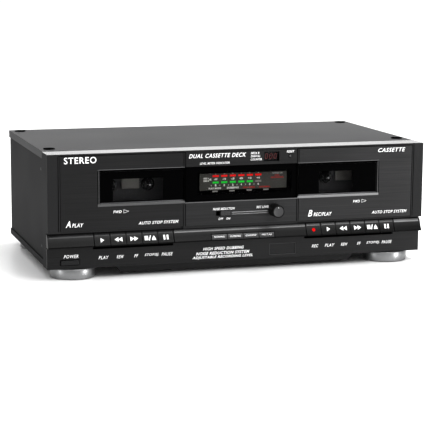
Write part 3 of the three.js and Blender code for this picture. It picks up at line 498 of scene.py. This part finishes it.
def front_of(node):
    """The depth of a node's finished front, in mm, over a point in x and z."""
    tree = BVHTree.FromObject(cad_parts[node], bpy.context.evaluated_depsgraph_get())

    def depth(x, z):
        hit = tree.ray_cast(at(x, AHEAD, z), Vector((0, 1, 0)))[0]
        return (hit.y - FRONT) * 1000 if hit else MISSED

    return depth


def lay(bm, outlines, depth, thick=0.06):
    """Outlines in x and z, cut into level strips and laid on a curved front."""
    for outline in outlines:
        flat = bmesh.new()
        flat.faces.new([flat.verts.new((x, 0, z)) for x, z in outline])
        lo, hi = min(z for _, z in outline), max(z for _, z in outline)
        z = math.ceil(lo / LEVEL) * LEVEL
        while z < hi:
            whole = flat.verts[:] + flat.edges[:] + flat.faces[:]
            bmesh.ops.bisect_plane(flat, geom=whole, plane_co=(0, 0, z), plane_no=(0, 0, 1))
            z += LEVEL
        bmesh.ops.remove_doubles(flat, verts=flat.verts, dist=0.02)
        faces = [[(v.co.x, v.co.z) for v in f.verts] for f in flat.faces]
        border = [[(v.co.x, v.co.z) for v in e.verts] for e in flat.edges if e.is_boundary]
        flat.free()
        made = {}

        def vert(p, back):
            key = (round(p[0], 4), round(p[1], 4), back)
            if key not in made:
                y = depth(*p) + (0.2 if back else -thick)
                made[key] = bm.verts.new(at(p[0], y, p[1]))
            return made[key]

        for f in faces:
            bm.faces.new([vert(p, False) for p in f])
            bm.faces.new([vert(p, True) for p in reversed(f)])
        for a, b in border:
            bm.faces.new([vert(a, False), vert(b, False), vert(b, True), vert(a, True)])


def triangle(x0, x1, z, h):
    """A triangle that points from x0 to x1."""
    return [(x0, z - h / 2), (x0, z + h / 2), (x1, z)]


def bar(x0, x1, z, h, lean=0.0):
    return [(x0 - lean, z - h / 2), (x1 - lean, z - h / 2), (x1 + lean, z + h / 2), (x0 + lean, z + h / 2)]


def symbol(kind, x, z):
    if kind == "play":
        return [triangle(x - 1.9, x + 2.0, z, 4.8)]
    if kind == "rewind":
        return [triangle(x + 0.1, x - 4.3, z, 4.8), triangle(x + 4.4, x, z, 4.8)]
    if kind == "fast_forward":
        return [triangle(x - 0.1, x + 4.3, z, 4.8), triangle(x - 4.4, x, z, 4.8)]
    if kind == "stop_eject":
        up = [(x + 1.8, z - 0.9), (x + 6.4, z - 0.9), (x + 4.1, z + 2.4)]
        return [bar(x - 6.2, x - 2.2, z, 4.4), bar(x - 0.9, x + 0.2, z, 5.2, 0.8), up,
                bar(x + 1.8, x + 6.4, z - 1.8, 1.1)]
    if kind == "pause":
        return [bar(x - 2.8, x - 0.8, z, 4.8), bar(x + 0.8, x + 2.8, z, 4.8)]
    return [[(x + 1.9 * math.cos(a), z + 1.9 * math.sin(a)) for a in [i * math.pi / 12 for i in range(24)]]]


KEYS = [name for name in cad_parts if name.startswith("key_") and name != "key_pivot_rod"]
SYMBOL_Z = 30.3

for name in KEYS:
    bm = bmesh.new()
    kind = name[6:]
    lay(bm, symbol(kind, middle(name)[0], SYMBOL_Z), front_of(name))
    ink = m_red_mark if kind == "record" else m_white
    piece(f"symbol_{name}", bm, ink, name, smooth=False)


# A polished band along the top of the bar and of each key; the bands on deck B's keys and the bar's middle
# are a lighter copy, as painted light, and the band on the bar's right end is bright ledge grey, as a
# painted highlight
def band(name, body, x0, x1, depth, low, high, look):
    bm = bmesh.new()
    steps = max(1, round((x1 - x0) / 8))
    for k in range(steps):
        a, b = x0 + (x1 - x0) * k / steps, x0 + (x1 - x0) * (k + 1) / steps
        lay(bm, [[(a, low), (b, low), (b, high), (a, high)]], depth, 0.03)
    bmesh.ops.remove_doubles(bm, verts=bm.verts, dist=1e-6)
    piece(name, bm, look, body, smooth=False)


for name in KEYS:
    lo, hi = span(name)
    band(f"crown_of_{name}", name, lo[0] + 0.6, hi[0] - 0.6, front_of(name), 34.6, 37.2,
         m_crown if name[4] == "a" else m_crown_painted_light)
ends = span("trim_bar")
keys = {d: [span(n) for n in KEYS if n[4] == d] for d in "ab"}
a0, a1 = min(k[0][0] for k in keys["a"]), max(k[1][0] for k in keys["a"])
b0, b1 = min(k[0][0] for k in keys["b"]), max(k[1][0] for k in keys["b"])
# painted light on the middle stretch, and a painted highlight on the right end in the bright ledge grey
stretches = (
    (ends[0][0] + 2, a0 - 1.2, m_crown), (a1 + 1.2, b0 - 1.2, m_crown_painted_light),
    (b1 + 1.2, ends[1][0] - 2, m_ledge_painted_light),
)
for i, (x0, x1, look) in enumerate(stretches):
    band(f"crown_of_bar_{i + 1}", "chassis", x0, x1, front_of("trim_bar"), 34, 37.3, look)

# Selector buttons: a small word on each
for i, text in enumerate(("NORMAL", "DUBBING", "CHROME", "METAL")):
    name = f"selector_button_{i + 1}"
    lo, hi = span(name)
    bm = bmesh.new()
    words(bm, text, (lo[0] + 2.6, hi[0] - 2.6), (27.1, 28.8), 0, bold=0.0)
    depth = front_of(name)
    for v in bm.verts:
        v.co.y += depth(v.co.x * 1000, (v.co.z - BASE) * 1000) / 1000
    piece(f"legend_{name}", bm, m_white, name, smooth=False)


# ---------------------------------------------------------------- masks, window chamfers, seals with painted shade, and painted highlights
def frame_of(bm, outer, inner, y):
    """A flat frame between two rectangles in x and z."""
    (a, b), (c, d) = outer
    (e, f), (g, h) = inner
    for x, z in (((a, e), (c, d)), ((f, b), (c, d)), ((e, f), (c, g)), ((e, f), (h, d))):
        if x[1] - x[0] > 0.01 and z[1] - z[0] > 0.01:
            brick(bm, x, y, z)


lo, hi = span("display_lens")
bm = bmesh.new()
my = span("meter_panel")[1][1]
brick(bm, (lo[0] + 0.5, hi[0] - 0.5), (my + 0.3, my + 0.8), (lo[2] + 0.5, hi[2] - 0.5))
piece("display_mask", bm, m_matte, "chassis", smooth=False)
bm = bmesh.new()
frame_of(bm, ((lo[0] + 0.2, hi[0] - 0.2), (lo[2] + 0.2, hi[2] - 0.2)), ((-50, 58), (74.5, 99)),
         (lo[1] - 0.05, lo[1] + 0.05))
piece("display_border", bm, m_border, "chassis", smooth=False)
for deck in "ab":
    lo, hi = span(f"door_window_{deck}")
    wide = (-144, -88.5) if deck == "a" else (90.5, 131)
    bm = bmesh.new()
    frame_of(bm, ((lo[0] + 0.1, hi[0] - 0.1), (lo[2] + 0.1, hi[2] - 0.1)), (wide, (71.5, 95.6)),
             (lo[1] - 0.05, lo[1] + 0.05))
    piece(f"window_mask_{deck}", bm, m_border, f"cassette_door_{deck}", smooth=False)

    # a polished chamfer round the window's recess: sill, head and end
    z0, z1 = lo[2], hi[2]
    end, inner = (lo[0], hi[0]) if deck == "a" else (hi[0], lo[0])
    turn = 1 if deck == "a" else -1
    deep = lo[1] - 0.05
    for part, section, run in (
        ("sill", [(0.05, z0), (deep, z0), (deep, z0 + 1.1)], "x"),
        ("head", [(0.05, z1), (deep, z1), (deep, z1 - 0.7)], "x"),
        ("end", [(0.05, end), (deep, end), (deep, end + turn * 0.8)], "z"),
    ):
        bm = bmesh.new()
        if run == "x":
            ends = [[bm.verts.new(at(x, y, z)) for y, z in section] for x in (end, inner)]
        else:
            ends = [[bm.verts.new(at(x, y, z)) for y, x in section] for z in (z0, z1)]
        bridge(bm, ends)
        piece(f"window_{part}_{deck}", bm, m_frame if part != "sill" else m_edge, f"cassette_door_{deck}",
              smooth=False)

# a slim bezel round each window: a sill, a light copy of the ledge on the right and a dim copy on the left,
# as painted light and shade; black strips; and fine light lines above and at the outer end, as painted
# highlights
for deck in "ab":
    lo, hi = span(f"door_window_{deck}")
    door = span(f"door_{deck}")
    side = -1 if deck == "a" else 1
    end = lo[0] if deck == "a" else hi[0]
    inner = door[1][0] - 0.4 if deck == "a" else door[0][0] + 0.4
    face = door[0][1]

    def strip(bm, x, z, proud):
        brick(bm, tuple(sorted(x)), (face - proud, face + 0.1), z)

    bm = bmesh.new()
    strip(bm, (end + side * 2.2, inner), (lo[2] - 2.7, lo[2] - 0.15), 0.22)
    piece(f"window_ledge_{deck}", bm, m_dim_ledge_painted_shade if deck == "a" else m_ledge_painted_light, f"cassette_door_{deck}",
          bevel=0.15)
    bm = bmesh.new()
    strip(bm, (end + side * 2.2, inner), (hi[2] + 0.15, hi[2] + 1.9), 0.1)
    strip(bm, (end + side * 0.15, end + side * 2.3), (lo[2] - 0.15, hi[2] + 1.9), 0.1)
    piece(f"window_border_{deck}", bm, m_matte, f"cassette_door_{deck}", smooth=False)
    # painted highlight: fine light grey lines above the window and at its outer end, for its lit edges
    bm = bmesh.new()
    strip(bm, (end + side * 2.2, inner), (hi[2] + 1.8, hi[2] + 2.35), 0.2)
    strip(bm, (end + side * 0.75, end + side * 1.25), (lo[2] - 0.15, hi[2] + 1.0), 0.2)
    piece(f"window_painted_highlights_{deck}", bm, m_painted_highlight, f"cassette_door_{deck}", smooth=False)

# painted highlight: a lighter outline round the blank recess, for its lit edges
bm = bmesh.new()
cx, cz = 50.4, 9.8
frame_of(bm, ((cx - 15.5, cx + 15.5), (cz - 6.3, cz + 6.3)), ((cx - 15.1, cx + 15.1), (cz - 5.9, cz + 5.9)),
         (low - 0.05, low + 0.9))
piece("blank_outline_painted_highlight", bm, m_knob, "chassis", smooth=False)
# painted highlight: a light grey strip along the top edge of the lower plate
lo, hi = span("lower_plate")
bm = bmesh.new()
brick(bm, (lo[0] + 0.6, hi[0] - 0.6), (-0.12, 0.3), (hi[2] - 0.9, hi[2] - 0.1))
piece("plate_edge_painted_highlight", bm, m_painted_highlight, "chassis", smooth=False)

# dark seals in the joints between the cover, the fascia and the doors, matte black as painted shade in the
# gaps
lo, hi = span("fascia_frame")
cover = span("top_cover")
bm = bmesh.new()
brick(bm, (cover[0][0] + 1, cover[1][0] - 1), (hi[1] - 0.1, hi[1] + 0.9), (hi[2] - 2, hi[2] + 0.06))
for s in (-1, 1):
    edge = s * abs(cover[0][0])
    xs = sorted((edge + s * 0.25, edge - s * 3))
    brick(bm, tuple(xs), (hi[1] + 0.05, hi[1] + 3.2), (lo[2] + 2, hi[2] - 1))
piece("case_seal_painted_shade", bm, m_matte, "chassis", smooth=False)
bm = bmesh.new()
for deck in "ab":
    lo, hi = span(f"door_{deck}")
    side = -1 if deck == "a" else 1
    for edge, s in ((lo[0], -1), (hi[0], 1)):
        x = sorted((edge + s * 0.1, edge + s * 0.85))
        brick(bm, tuple(x), (lo[1] - 0.04, lo[1] + 0.5), (lo[2], hi[2] + 0.6))
    brick(bm, (lo[0], hi[0]), (lo[1] - 0.04, lo[1] + 0.5), (hi[2] + 0.1, hi[2] + 0.75))
piece("door_seals_painted_shade", bm, m_matte, "chassis", smooth=False)

# ---------------------------------------------------------------- level meter and counter
lo, hi = span("meter_panel")
meter_y = lo[1]
bm_red, bm_green, bm_off = bmesh.new(), bmesh.new(), bmesh.new()
for i in range(6):
    x = -31.2 + 9.8 * i
    outline = [(x, 93), (x + 6.9, 93), (x + 6.9, 94.9), (x, 94.9)]
    prism(bm_red, outline, meter_y - 0.5, 0.6)
    bars = [(x, 85.9), (x + 6.9, 85.9), (x + 6.9, 87.8), (x, 87.8)]
    prism(bm_green if i < 5 else bm_off, bars, meter_y - 0.5, 0.6)
piece("meter_lamps_upper", bm_red, m_led_red, "chassis", smooth=False)
piece("meter_lamps_lower", bm_green, m_led_green, "chassis", smooth=False)
piece("meter_lamp_unlit", bm_off, m_led_off, "chassis", smooth=False)
bm = bmesh.new()
for i, text in enumerate(("-20", "-10", "-5", "0", "+3", "+6")):
    x = -31.2 + 9.8 * i
    words(bm, text, (x + 1.4, x + 5.4), (89.4, 91.6), meter_y, shear=0, bold=0.06)
    words(bm, str(i + 1), (x + 2.7, x + 4.3), (82.5, 84.9), meter_y, shear=0, bold=0.06)
    prism(bm, [(x + 3.2, 95.7), (x + 3.8, 95.7), (x + 3.8, 96.4), (x + 3.2, 96.4)], meter_y - INK, 0.1)
    prism(bm, [(x - 1.7, 82.9), (x - 1.2, 82.9), (x - 1.2, 84.3), (x - 1.7, 84.3)], meter_y - INK, 0.1)
words(bm, "DECK A", (-41.5, -35.6), (90.6, 92.6), meter_y, shear=0, bold=0.06)
words(bm, "DECK B", (-41.5, -35.6), (87.9, 89.9), meter_y, shear=0, bold=0.06)
words(bm, "dB", (-35, -32.6), (89.2, 91.4), meter_y, shear=0, bold=0.06)
words(bm, "PLAY MODE", (-35.6, -21.5), (79.4, 81.4), meter_y, shear=0, bold=0.06)
words(bm, "DUBBING", (-14.8, -1.2), (79.4, 81.6), meter_y, shear=0, bold=0.06)
piece("meter_scale", bm, m_print, "chassis", smooth=False)
bm = bmesh.new()
words(bm, "HIGH SPEED", (3.6, 17.6), (79.4, 81.2), meter_y, shear=0, bold=0.05)
words(bm, "NORMAL", (22.6, 35.2), (79.4, 81.2), meter_y, shear=0, bold=0.05)
words(bm, "LEVEL", (40.5, 46), (91.7, 93.2), meter_y, shear=0, bold=0.05)
words(bm, "RECORDING", (36, 50.6), (89.4, 91), meter_y, shear=0, bold=0.05)
piece("meter_red_words", bm, m_red_ink, "chassis", smooth=False)
bm = bmesh.new()
words(bm, "POWER ON", (37.2, 49.4), (94, 96), meter_y, shear=0, bold=0.06)
for x in (-28.4, -9, 10.8, 30.2):
    prism(bm, [(x - 3, 76.4), (x + 3, 76.4), (x + 3, 77.9), (x - 3, 77.9)], meter_y - 0.3, 0.3)
piece("meter_grey_marks", bm, m_grey_ink, "chassis", smooth=False)

cx, cz = 34.1, 114.4
bm = bmesh.new()
brick(bm, (cx - 9.0, cx + 9.0), (3.4, 5.2), (cz - 5.4, cz + 5.4))
piece("counter_back", bm, m_gloss, "chassis", bevel=0.2)
bm = bmesh.new()
for i in (-1, 0, 1):
    words(bm, "0", (cx + i * 5.1 - 1.9, cx + i * 5.1 + 1.9), (cz - 3.3, cz + 3.3), 3.4, shear=0.12, bold=0.0)
piece("counter_digits", bm, m_led_dim, "chassis", smooth=False)
bm = bmesh.new()
brick(bm, (cx - 8.6, cx + 8.6), (0.6, 1.6), (cz - 5.0, cz + 5.0))
piece("counter_window", bm, m_lens, "chassis", bevel=0.2)

# ---------------------------------------------------------------- controls
x, _, z = middle("record_level_knob")
lo, hi = span("record_level_knob")
R = (hi[0] - lo[0]) / 2
bm = bmesh.new()
skirt = [(0, lo[1] + 0.25), (R - 1.7, lo[1] + 0.25), (R - 1.45, lo[1]), (R - 0.7, lo[1]),
         (R - 0.25, lo[1] + 0.25), (R - 0.05, lo[1] + 0.8), (R, -1.0), (R - 0.2, -0.5), (3, -0.5),
         (3, hi[1]), (0, hi[1])]
lathe(bm, skirt, (x, 0, z), sides=96,
      ripple=lambda a, r, t: -0.16 * (0.5 + 0.5 * math.cos(32 * a)) if r > R - 0.1 else 0)
piece("knob", bm, m_skirt, "record_level_knob", replaces=("record_level_knob",))
dish = [(0, lo[1] + 0.12), (R - 1.9, lo[1] + 0.12), (R - 1.55, lo[1] + 0.02), (R - 0.9, lo[1] + 0.02),
        (R - 0.75, lo[1] + 0.3), (0, lo[1] + 0.3)]
bm = lathe(bmesh.new(), dish, (x, 0, z), sides=72)
piece("knob_cap", bm, m_knob, "record_level_knob")
bm = bmesh.new()
mark = [(x - 0.25, z + 3.6), (x + 0.25, z + 3.6), (x + 0.25, z + R - 2.0), (x - 0.25, z + R - 2.0)]
prism(bm, mark, lo[1] + 0.08, 0.2)
piece("knob_mark", bm, m_white, "record_level_knob", smooth=False)

# Two ridges that run from the switch to the knob, light grey as a painted highlight
lo_s, hi_s = span("noise_reduction_switch")
bm = bmesh.new()
for ridge in (52.4, 54.4):
    section = [(-0.55, 0.0), (-0.4, -0.4), (0.1, -0.5), (0.55, 0.0), (0.55, 0.1), (-0.55, 0.1)]
    ends = [[bm.verts.new(at(px, y, ridge + dz)) for dz, y in section] for px in (-11.5, x - R + 0.6)]
    bridge(bm, ends)
piece("control_ridges", bm, m_painted_highlight, "chassis", smooth=False)

bm = bmesh.new()
brick(bm, (lo_s[0], hi_s[0]), (lo_s[1] + 0.6, hi_s[1]), (lo_s[2], hi_s[2]))
GRIPS = 6  # ribs on the slider
for i in range(GRIPS):
    c = lo_s[0] + (i + 0.5) * (hi_s[0] - lo_s[0]) / GRIPS
    brick(bm, (c - 0.45, c + 0.45), (lo_s[1], lo_s[1] + 0.62), (lo_s[2] + 0.2, hi_s[2] - 0.2))
piece("switch_slider", bm, m_slide, "noise_reduction_switch",
      replaces=("noise_reduction_switch",), bevel=0.12)

x, _, z = middle("reset_button")
lo, hi = span("reset_button")
r = (hi[2] - lo[2]) / 2
bm = bmesh.new()
button = [(0, lo[1] + 0.25), (r - 0.7, lo[1] + 0.15), (r - 0.35, lo[1]), (r - 0.1, lo[1] + 0.15),
          (r, lo[1] + 0.5), (r, hi[1]), (0, hi[1])]
lathe(bm, button, (x, 0, z), sides=40)
piece("reset_cap", bm, m_gloss, "reset_button", replaces=("reset_button",))

# ---------------------------------------------------------------- feet
for row in ("front", "back"):
    for hand in ("left", "right"):
        node = f"foot_{row}_{hand}"
        lo, hi = span(node)
        cx, cy = (lo[0] + hi[0]) / 2, (lo[1] + hi[1]) / 2
        R = (hi[0] - lo[0]) / 2
        z0, z1 = lo[2], hi[2]
        prof = [(0, z0 + 1.0), (R - 6.4, z0 + 1.0), (R - 6.2, z0 + 0.6), (R - 2.6, z0 + 0.6),
                (R - 0.7, z0 + 0.6), (R - 0.2, z0 + 0.8), (R, z0 + 1.3), (R, z1 - 1.0), (R - 0.3, z1 - 0.4),
                (R - 1.2, z1), (0, z1)]
        bm = lathe(bmesh.new(), prof, (cx, cy, 0), "Z", 128)
        piece(f"{node}_shell", bm, m_silver, "chassis", replaces=(node,))
        ring = [(R - 6.0, z0 + 0.7), (R - 6.0, z0 + 0.12), (R - 5.6, z0), (R - 3.2, z0),
                (R - 2.9, z0 + 0.12), (R - 2.9, z0 + 0.7), (R - 6.0, z0 + 0.7)]
        bm = merged(lathe(bmesh.new(), ring, (cx, cy, 0), "Z", 96))
        piece(f"{node}_ring", bm, m_rubber, "chassis")


# ---------------------------------------------------------------- screws
def screw(bm, centre, out, radius=2.6):
    """A pan-head screw with a cross on it, its head towards out along Y."""
    x, y, z = centre
    head = [(0, 0.9), (radius * 0.3, 0.88), (radius * 0.62, 0.7), (radius * 0.88, 0.42), (radius, 0.08),
            (radius, -0.4), (0, -0.4)]
    lathe(bm, [(r, out * t) for r, t in head], centre, "Y", 24)
    thin, long = 0.28, radius * 0.62
    y0, y1 = sorted((out * 0.7, out * 1.01))
    for a, b in ((long, thin), (thin, long)):
        brick(bm, (x - a, x + a), (y + y0, y + y1), (z - b, z + b))


bm = bmesh.new()
for side, out in (("side_panel_left", -1), ("side_panel_right", 1)):
    lo, hi = span(side)
    face = lo[0] if out < 0 else hi[0]
    for zz in (19, 103):
        plug = [(0, out * -0.15), (1.0, out * -0.1), (1.5, out * 0.05), (1.85, out * -0.2),
                (1.85, out * -1.2), (0, out * -1.2)]
        lathe(bm, plug, (face, 46, zz), "X", 28)
piece("side_plugs", bm, m_plate, "chassis")

lo, hi = span("chassis_tray")
bm = bmesh.new()
for sx, sz in ((-205, 22), (-205, 108), (205, 22), (205, 108), (0, 22), (60, 108), (-60, 108)):
    screw(bm, (sx, hi[1] + 0.05, sz), 1)
piece("rear_screws", bm, m_plate, "chassis")

# ---------------------------------------------------------------- sockets on the back
lo, hi = span("jack_block")
jx, jz = (lo[0] + hi[0]) / 2, (lo[2] + hi[2]) / 2
for i, colour in ((-1, m_white_plastic), (1, m_red_plastic)):
    for k, row in ((-1, "out"), (1, "in")):
        c = (jx + i * 9, 0, jz + k * 8)
        collar = [(4.35, 236.2), (4.35, 241.6), (5.4, 241.6), (5.6, 241.2), (5.6, 236.2), (4.35, 236.2)]
        bm = merged(lathe(bmesh.new(), collar, c, sides=48))
        piece(f"jack_collar_{row}_{'left' if i < 0 else 'right'}", bm, colour, "chassis")
bm = bmesh.new()
for i in (-1, 1):
    for k in (-1, 1):
        shell = [(4.3, 241.6), (4.3, 243.8), (4.2, 244.0), (3.2, 244.0), (2.9, 243.7), (2.9, 243.98),
                 (1.9, 243.98), (1.85, 236.5), (3.9, 236.5), (4.3, 241.6)]
        lathe(bm, shell, (jx + i * 9, 0, jz + k * 8), sides=40)
piece("jack_shells", merged(bm), m_chrome, "chassis")

# ---------------------------------------------------------------- deck mechanisms
TEETH = 36  # on the gear of a reel table
TOOTH = 0.7

for deck in "ab":
    for which in ("supply", "takeup"):
        node = f"reel_spindle_{deck}_{which}"
        lo, hi = span(node)
        cx, cz = (lo[0] + hi[0]) / 2, (lo[2] + hi[2]) / 2
        tip, back = lo[1], hi[1]
        prof = [(0, tip + 1.2), (1.9, tip + 1.2), (2.5, tip + 2.0), (3.1, tip + 3.2), (3.3, tip + 3.6),
                (3.3, tip + 5.4), (5.3, tip + 5.5), (5.7, tip + 5.8), (5.8, tip + 6.4), (5.6, back - 7.3),
                (6.9, back - 6.9), (7.3, back - 6.4), (7.3, back - 5.7), (6.9, back - 5.3),
                (2.4, back - 5.2), (2.4, back - 2.4), (13.6, back - 2.4), (13.9, back - 2.2),
                (13.9, back - 0.2), (13.6, back), (0, back)]
        bm = lathe(bmesh.new(), prof, (cx, 0, cz), sides=72,
                   ripple=lambda a, r, t: -TOOTH * (math.cos(TEETH * a) > 0) if r > 13 else 0)
        for k in range(6):
            a = k * math.pi / 3
            u, v = math.cos(a), math.sin(a)
            rib = []
            for rr, w in ((2.9, 0.55), (4.2, 0.4)):
                rib.append((cx + rr * u - w * v, cz + rr * v + w * u))
                rib.append((cx + rr * u + w * v, cz + rr * v - w * u))
            prism(bm, [rib[0], rib[1], rib[3], rib[2]], tip + 2.2, 3.6)
        piece(f"reel_table_{deck}_{which}", bm, m_gloss, node,
              replaces=(node,))
        point = [(0, tip), (0.8, tip + 0.1), (1.35, tip + 0.5), (1.5, tip + 1.0), (1.5, tip + 2.4),
                 (0, tip + 2.4)]
        bm = lathe(bmesh.new(), point, (cx, 0, cz), sides=32)
        piece(f"spindle_tip_{deck}_{which}", bm, m_chrome, node)
    # the head, its chrome face and the guide forks, on the sled
    node = f"head_sled_{deck}"
    lo, hi = span(node)
    cx = (lo[0] + hi[0]) / 2
    top = hi[2]
    bm = bmesh.new()
    brick(bm, (cx - 5.6, cx + 5.6), (lo[1] + 1.2, lo[1] + 9.4), (top - 4.2, top + 0.9))
    piece(f"head_{deck}", bm, m_chrome, node, bevel=1.1)
    bm = bmesh.new()
    for s in (-1, 1):
        brick(bm, (cx + s * 6.5, cx + s * 7.5), (lo[1] + 1.6, lo[1] + 3.0), (top - 0.1, top + 1.1))
        brick(bm, (cx + s * 6.5, cx + s * 7.5), (lo[1] + 7.4, lo[1] + 8.8), (top - 0.1, top + 1.1))
    piece(f"tape_guides_{deck}", bm, m_white_plastic, node, bevel=0.2)
    node = f"pinch_roller_{deck}"
    lo, hi = span(node)
    cx, cz = (lo[0] + hi[0]) / 2, (lo[2] + hi[2]) / 2
    R = (hi[0] - lo[0]) / 2
    tyre = [(1.75, lo[1]), (R - 0.4, lo[1]), (R, lo[1] + 0.4), (R, hi[1] - 0.4), (R - 0.4, hi[1]),
            (1.75, hi[1]), (1.75, lo[1])]
    bm = merged(lathe(bmesh.new(), tyre, (cx, 0, cz)))
    piece(f"roller_{deck}", bm, m_rubber, node, replaces=(node,))
    # a window plate between the hubs, and screws, on the mechanism plate
    lo, hi = span(f"mechanism_plate_{deck}")
    supply, takeup = middle(f"reel_spindle_{deck}_supply"), middle(f"reel_spindle_{deck}_takeup")
    mx, mz = (supply[0] + takeup[0]) / 2, supply[2]
    bm = bmesh.new()
    left = mx - (8.6 if deck == "a" else 9.8)
    brick(bm, (left, left + 20), (lo[1] - 3.6, lo[1] + 0.1), (mz - 4.6, mz + 7.2))
    piece(f"mirror_strip_{deck}", bm, m_strip, "chassis", bevel=0.5)
    bm = bmesh.new()
    for dx, dz in ((-46, 24), (46, 24), (-46, -24), (0, 27)):
        screw(bm, (mx + dx, lo[1], mz + dz), -1, 2.2)
    piece(f"plate_screws_{deck}", bm, m_steel, "chassis")

# ---------------------------------------------------------------- floor, light and camera
mesh = bpy.data.meshes.new("floor")
mesh.from_pydata([(-25, -25, 0), (25, -25, 0), (25, 25, 0), (-25, 25, 0)], [], [(0, 1, 2, 3)])
floor = bpy.data.objects.new("floor", mesh)
bpy.context.scene.collection.objects.link(floor)
m_floor = material("floor_white", (0.82, 0.82, 0.82), 0.4, scale=3, vary=0.0, rough_vary=0.03, bump=0)
mesh.materials.append(m_floor)

# A bright sky that falls to pale grey at the horizon
world = bpy.data.worlds.new("studio")
bpy.context.scene.world = world
world.use_nodes = True
nt = world.node_tree
place = nt.nodes.new("ShaderNodeTexCoord")
split = nt.nodes.new("ShaderNodeSeparateXYZ")
fall = nt.nodes.new("ShaderNodeMapRange")
for key, value in (("From Min", 0.0), ("From Max", 0.9), ("To Min", 0.45), ("To Max", 1.75)):
    fall.inputs[key].default_value = value
nt.links.new(place.outputs["Generated"], split.inputs["Vector"])
nt.links.new(split.outputs["Z"], fall.inputs["Value"])
nt.links.new(fall.outputs["Result"], nt.nodes["Background"].inputs["Strength"])
nt.nodes["Background"].inputs["Color"].default_value = (1, 1, 1, 1)


def area(name, place, target, size, power):
    light = bpy.data.lights.new(name, "AREA")
    light.shape = "RECTANGLE"
    light.size, light.size_y = size
    light.energy = power
    o = bpy.data.objects.new(name, light)
    bpy.context.scene.collection.objects.link(o)
    o.location = place
    o.visible_camera = False
    o.rotation_euler = (Vector(target) - Vector(place)).to_track_quat("-Z", "Y").to_euler()


area("overhead", (0.45, -0.25, 1.25), (0.05, 0, 0.1), (1.3, 0.35), 14)
area("key", (0.6, -1.9, 1.8), (0, 0, 0.06), (1.2, 1.0), 24)
area("right", (1.2, -1.25, 0.08), (0, 0, 0.06), (0.4, 0.09), 8.5)
area("left", (-1.5, -0.42, 0.08), (0, 0, 0.03), (0.25, 0.09), 2)
area("back", (0.85, 2.3, 0.55), (0.2, 0, 0.1), (2.6, 0.4), 6)

azimuth, elevation, roll = math.radians(-17.419), math.radians(9.664), math.radians(0.385)
back = Vector((math.sin(azimuth) * math.cos(elevation), -math.cos(azimuth) * math.cos(elevation),
               math.sin(elevation)))
right = Vector((0, 0, 1)).cross(back).normalized()
up = back.cross(right)
turned = (right * math.cos(roll) + up * math.sin(roll), up * math.cos(roll) - right * math.sin(roll), back)
DISTANCE = 1.6759
place = at(-30.56, 0, 52.34) + back * DISTANCE
camera = bpy.data.cameras.new("camera")
camera.lens = 129.05
camera.sensor_width = 36
camera.clip_end = 50
eye = bpy.data.objects.new("camera", camera)
bpy.context.scene.collection.objects.link(eye)
eye.matrix_world = Matrix.Translation(place) @ Matrix([list(c) for c in zip(*turned)]).to_4x4()
bpy.context.scene.camera = eye
bpy.context.scene.view_settings.view_transform = "Standard"
bpy.context.scene.view_settings.gamma = 0.86
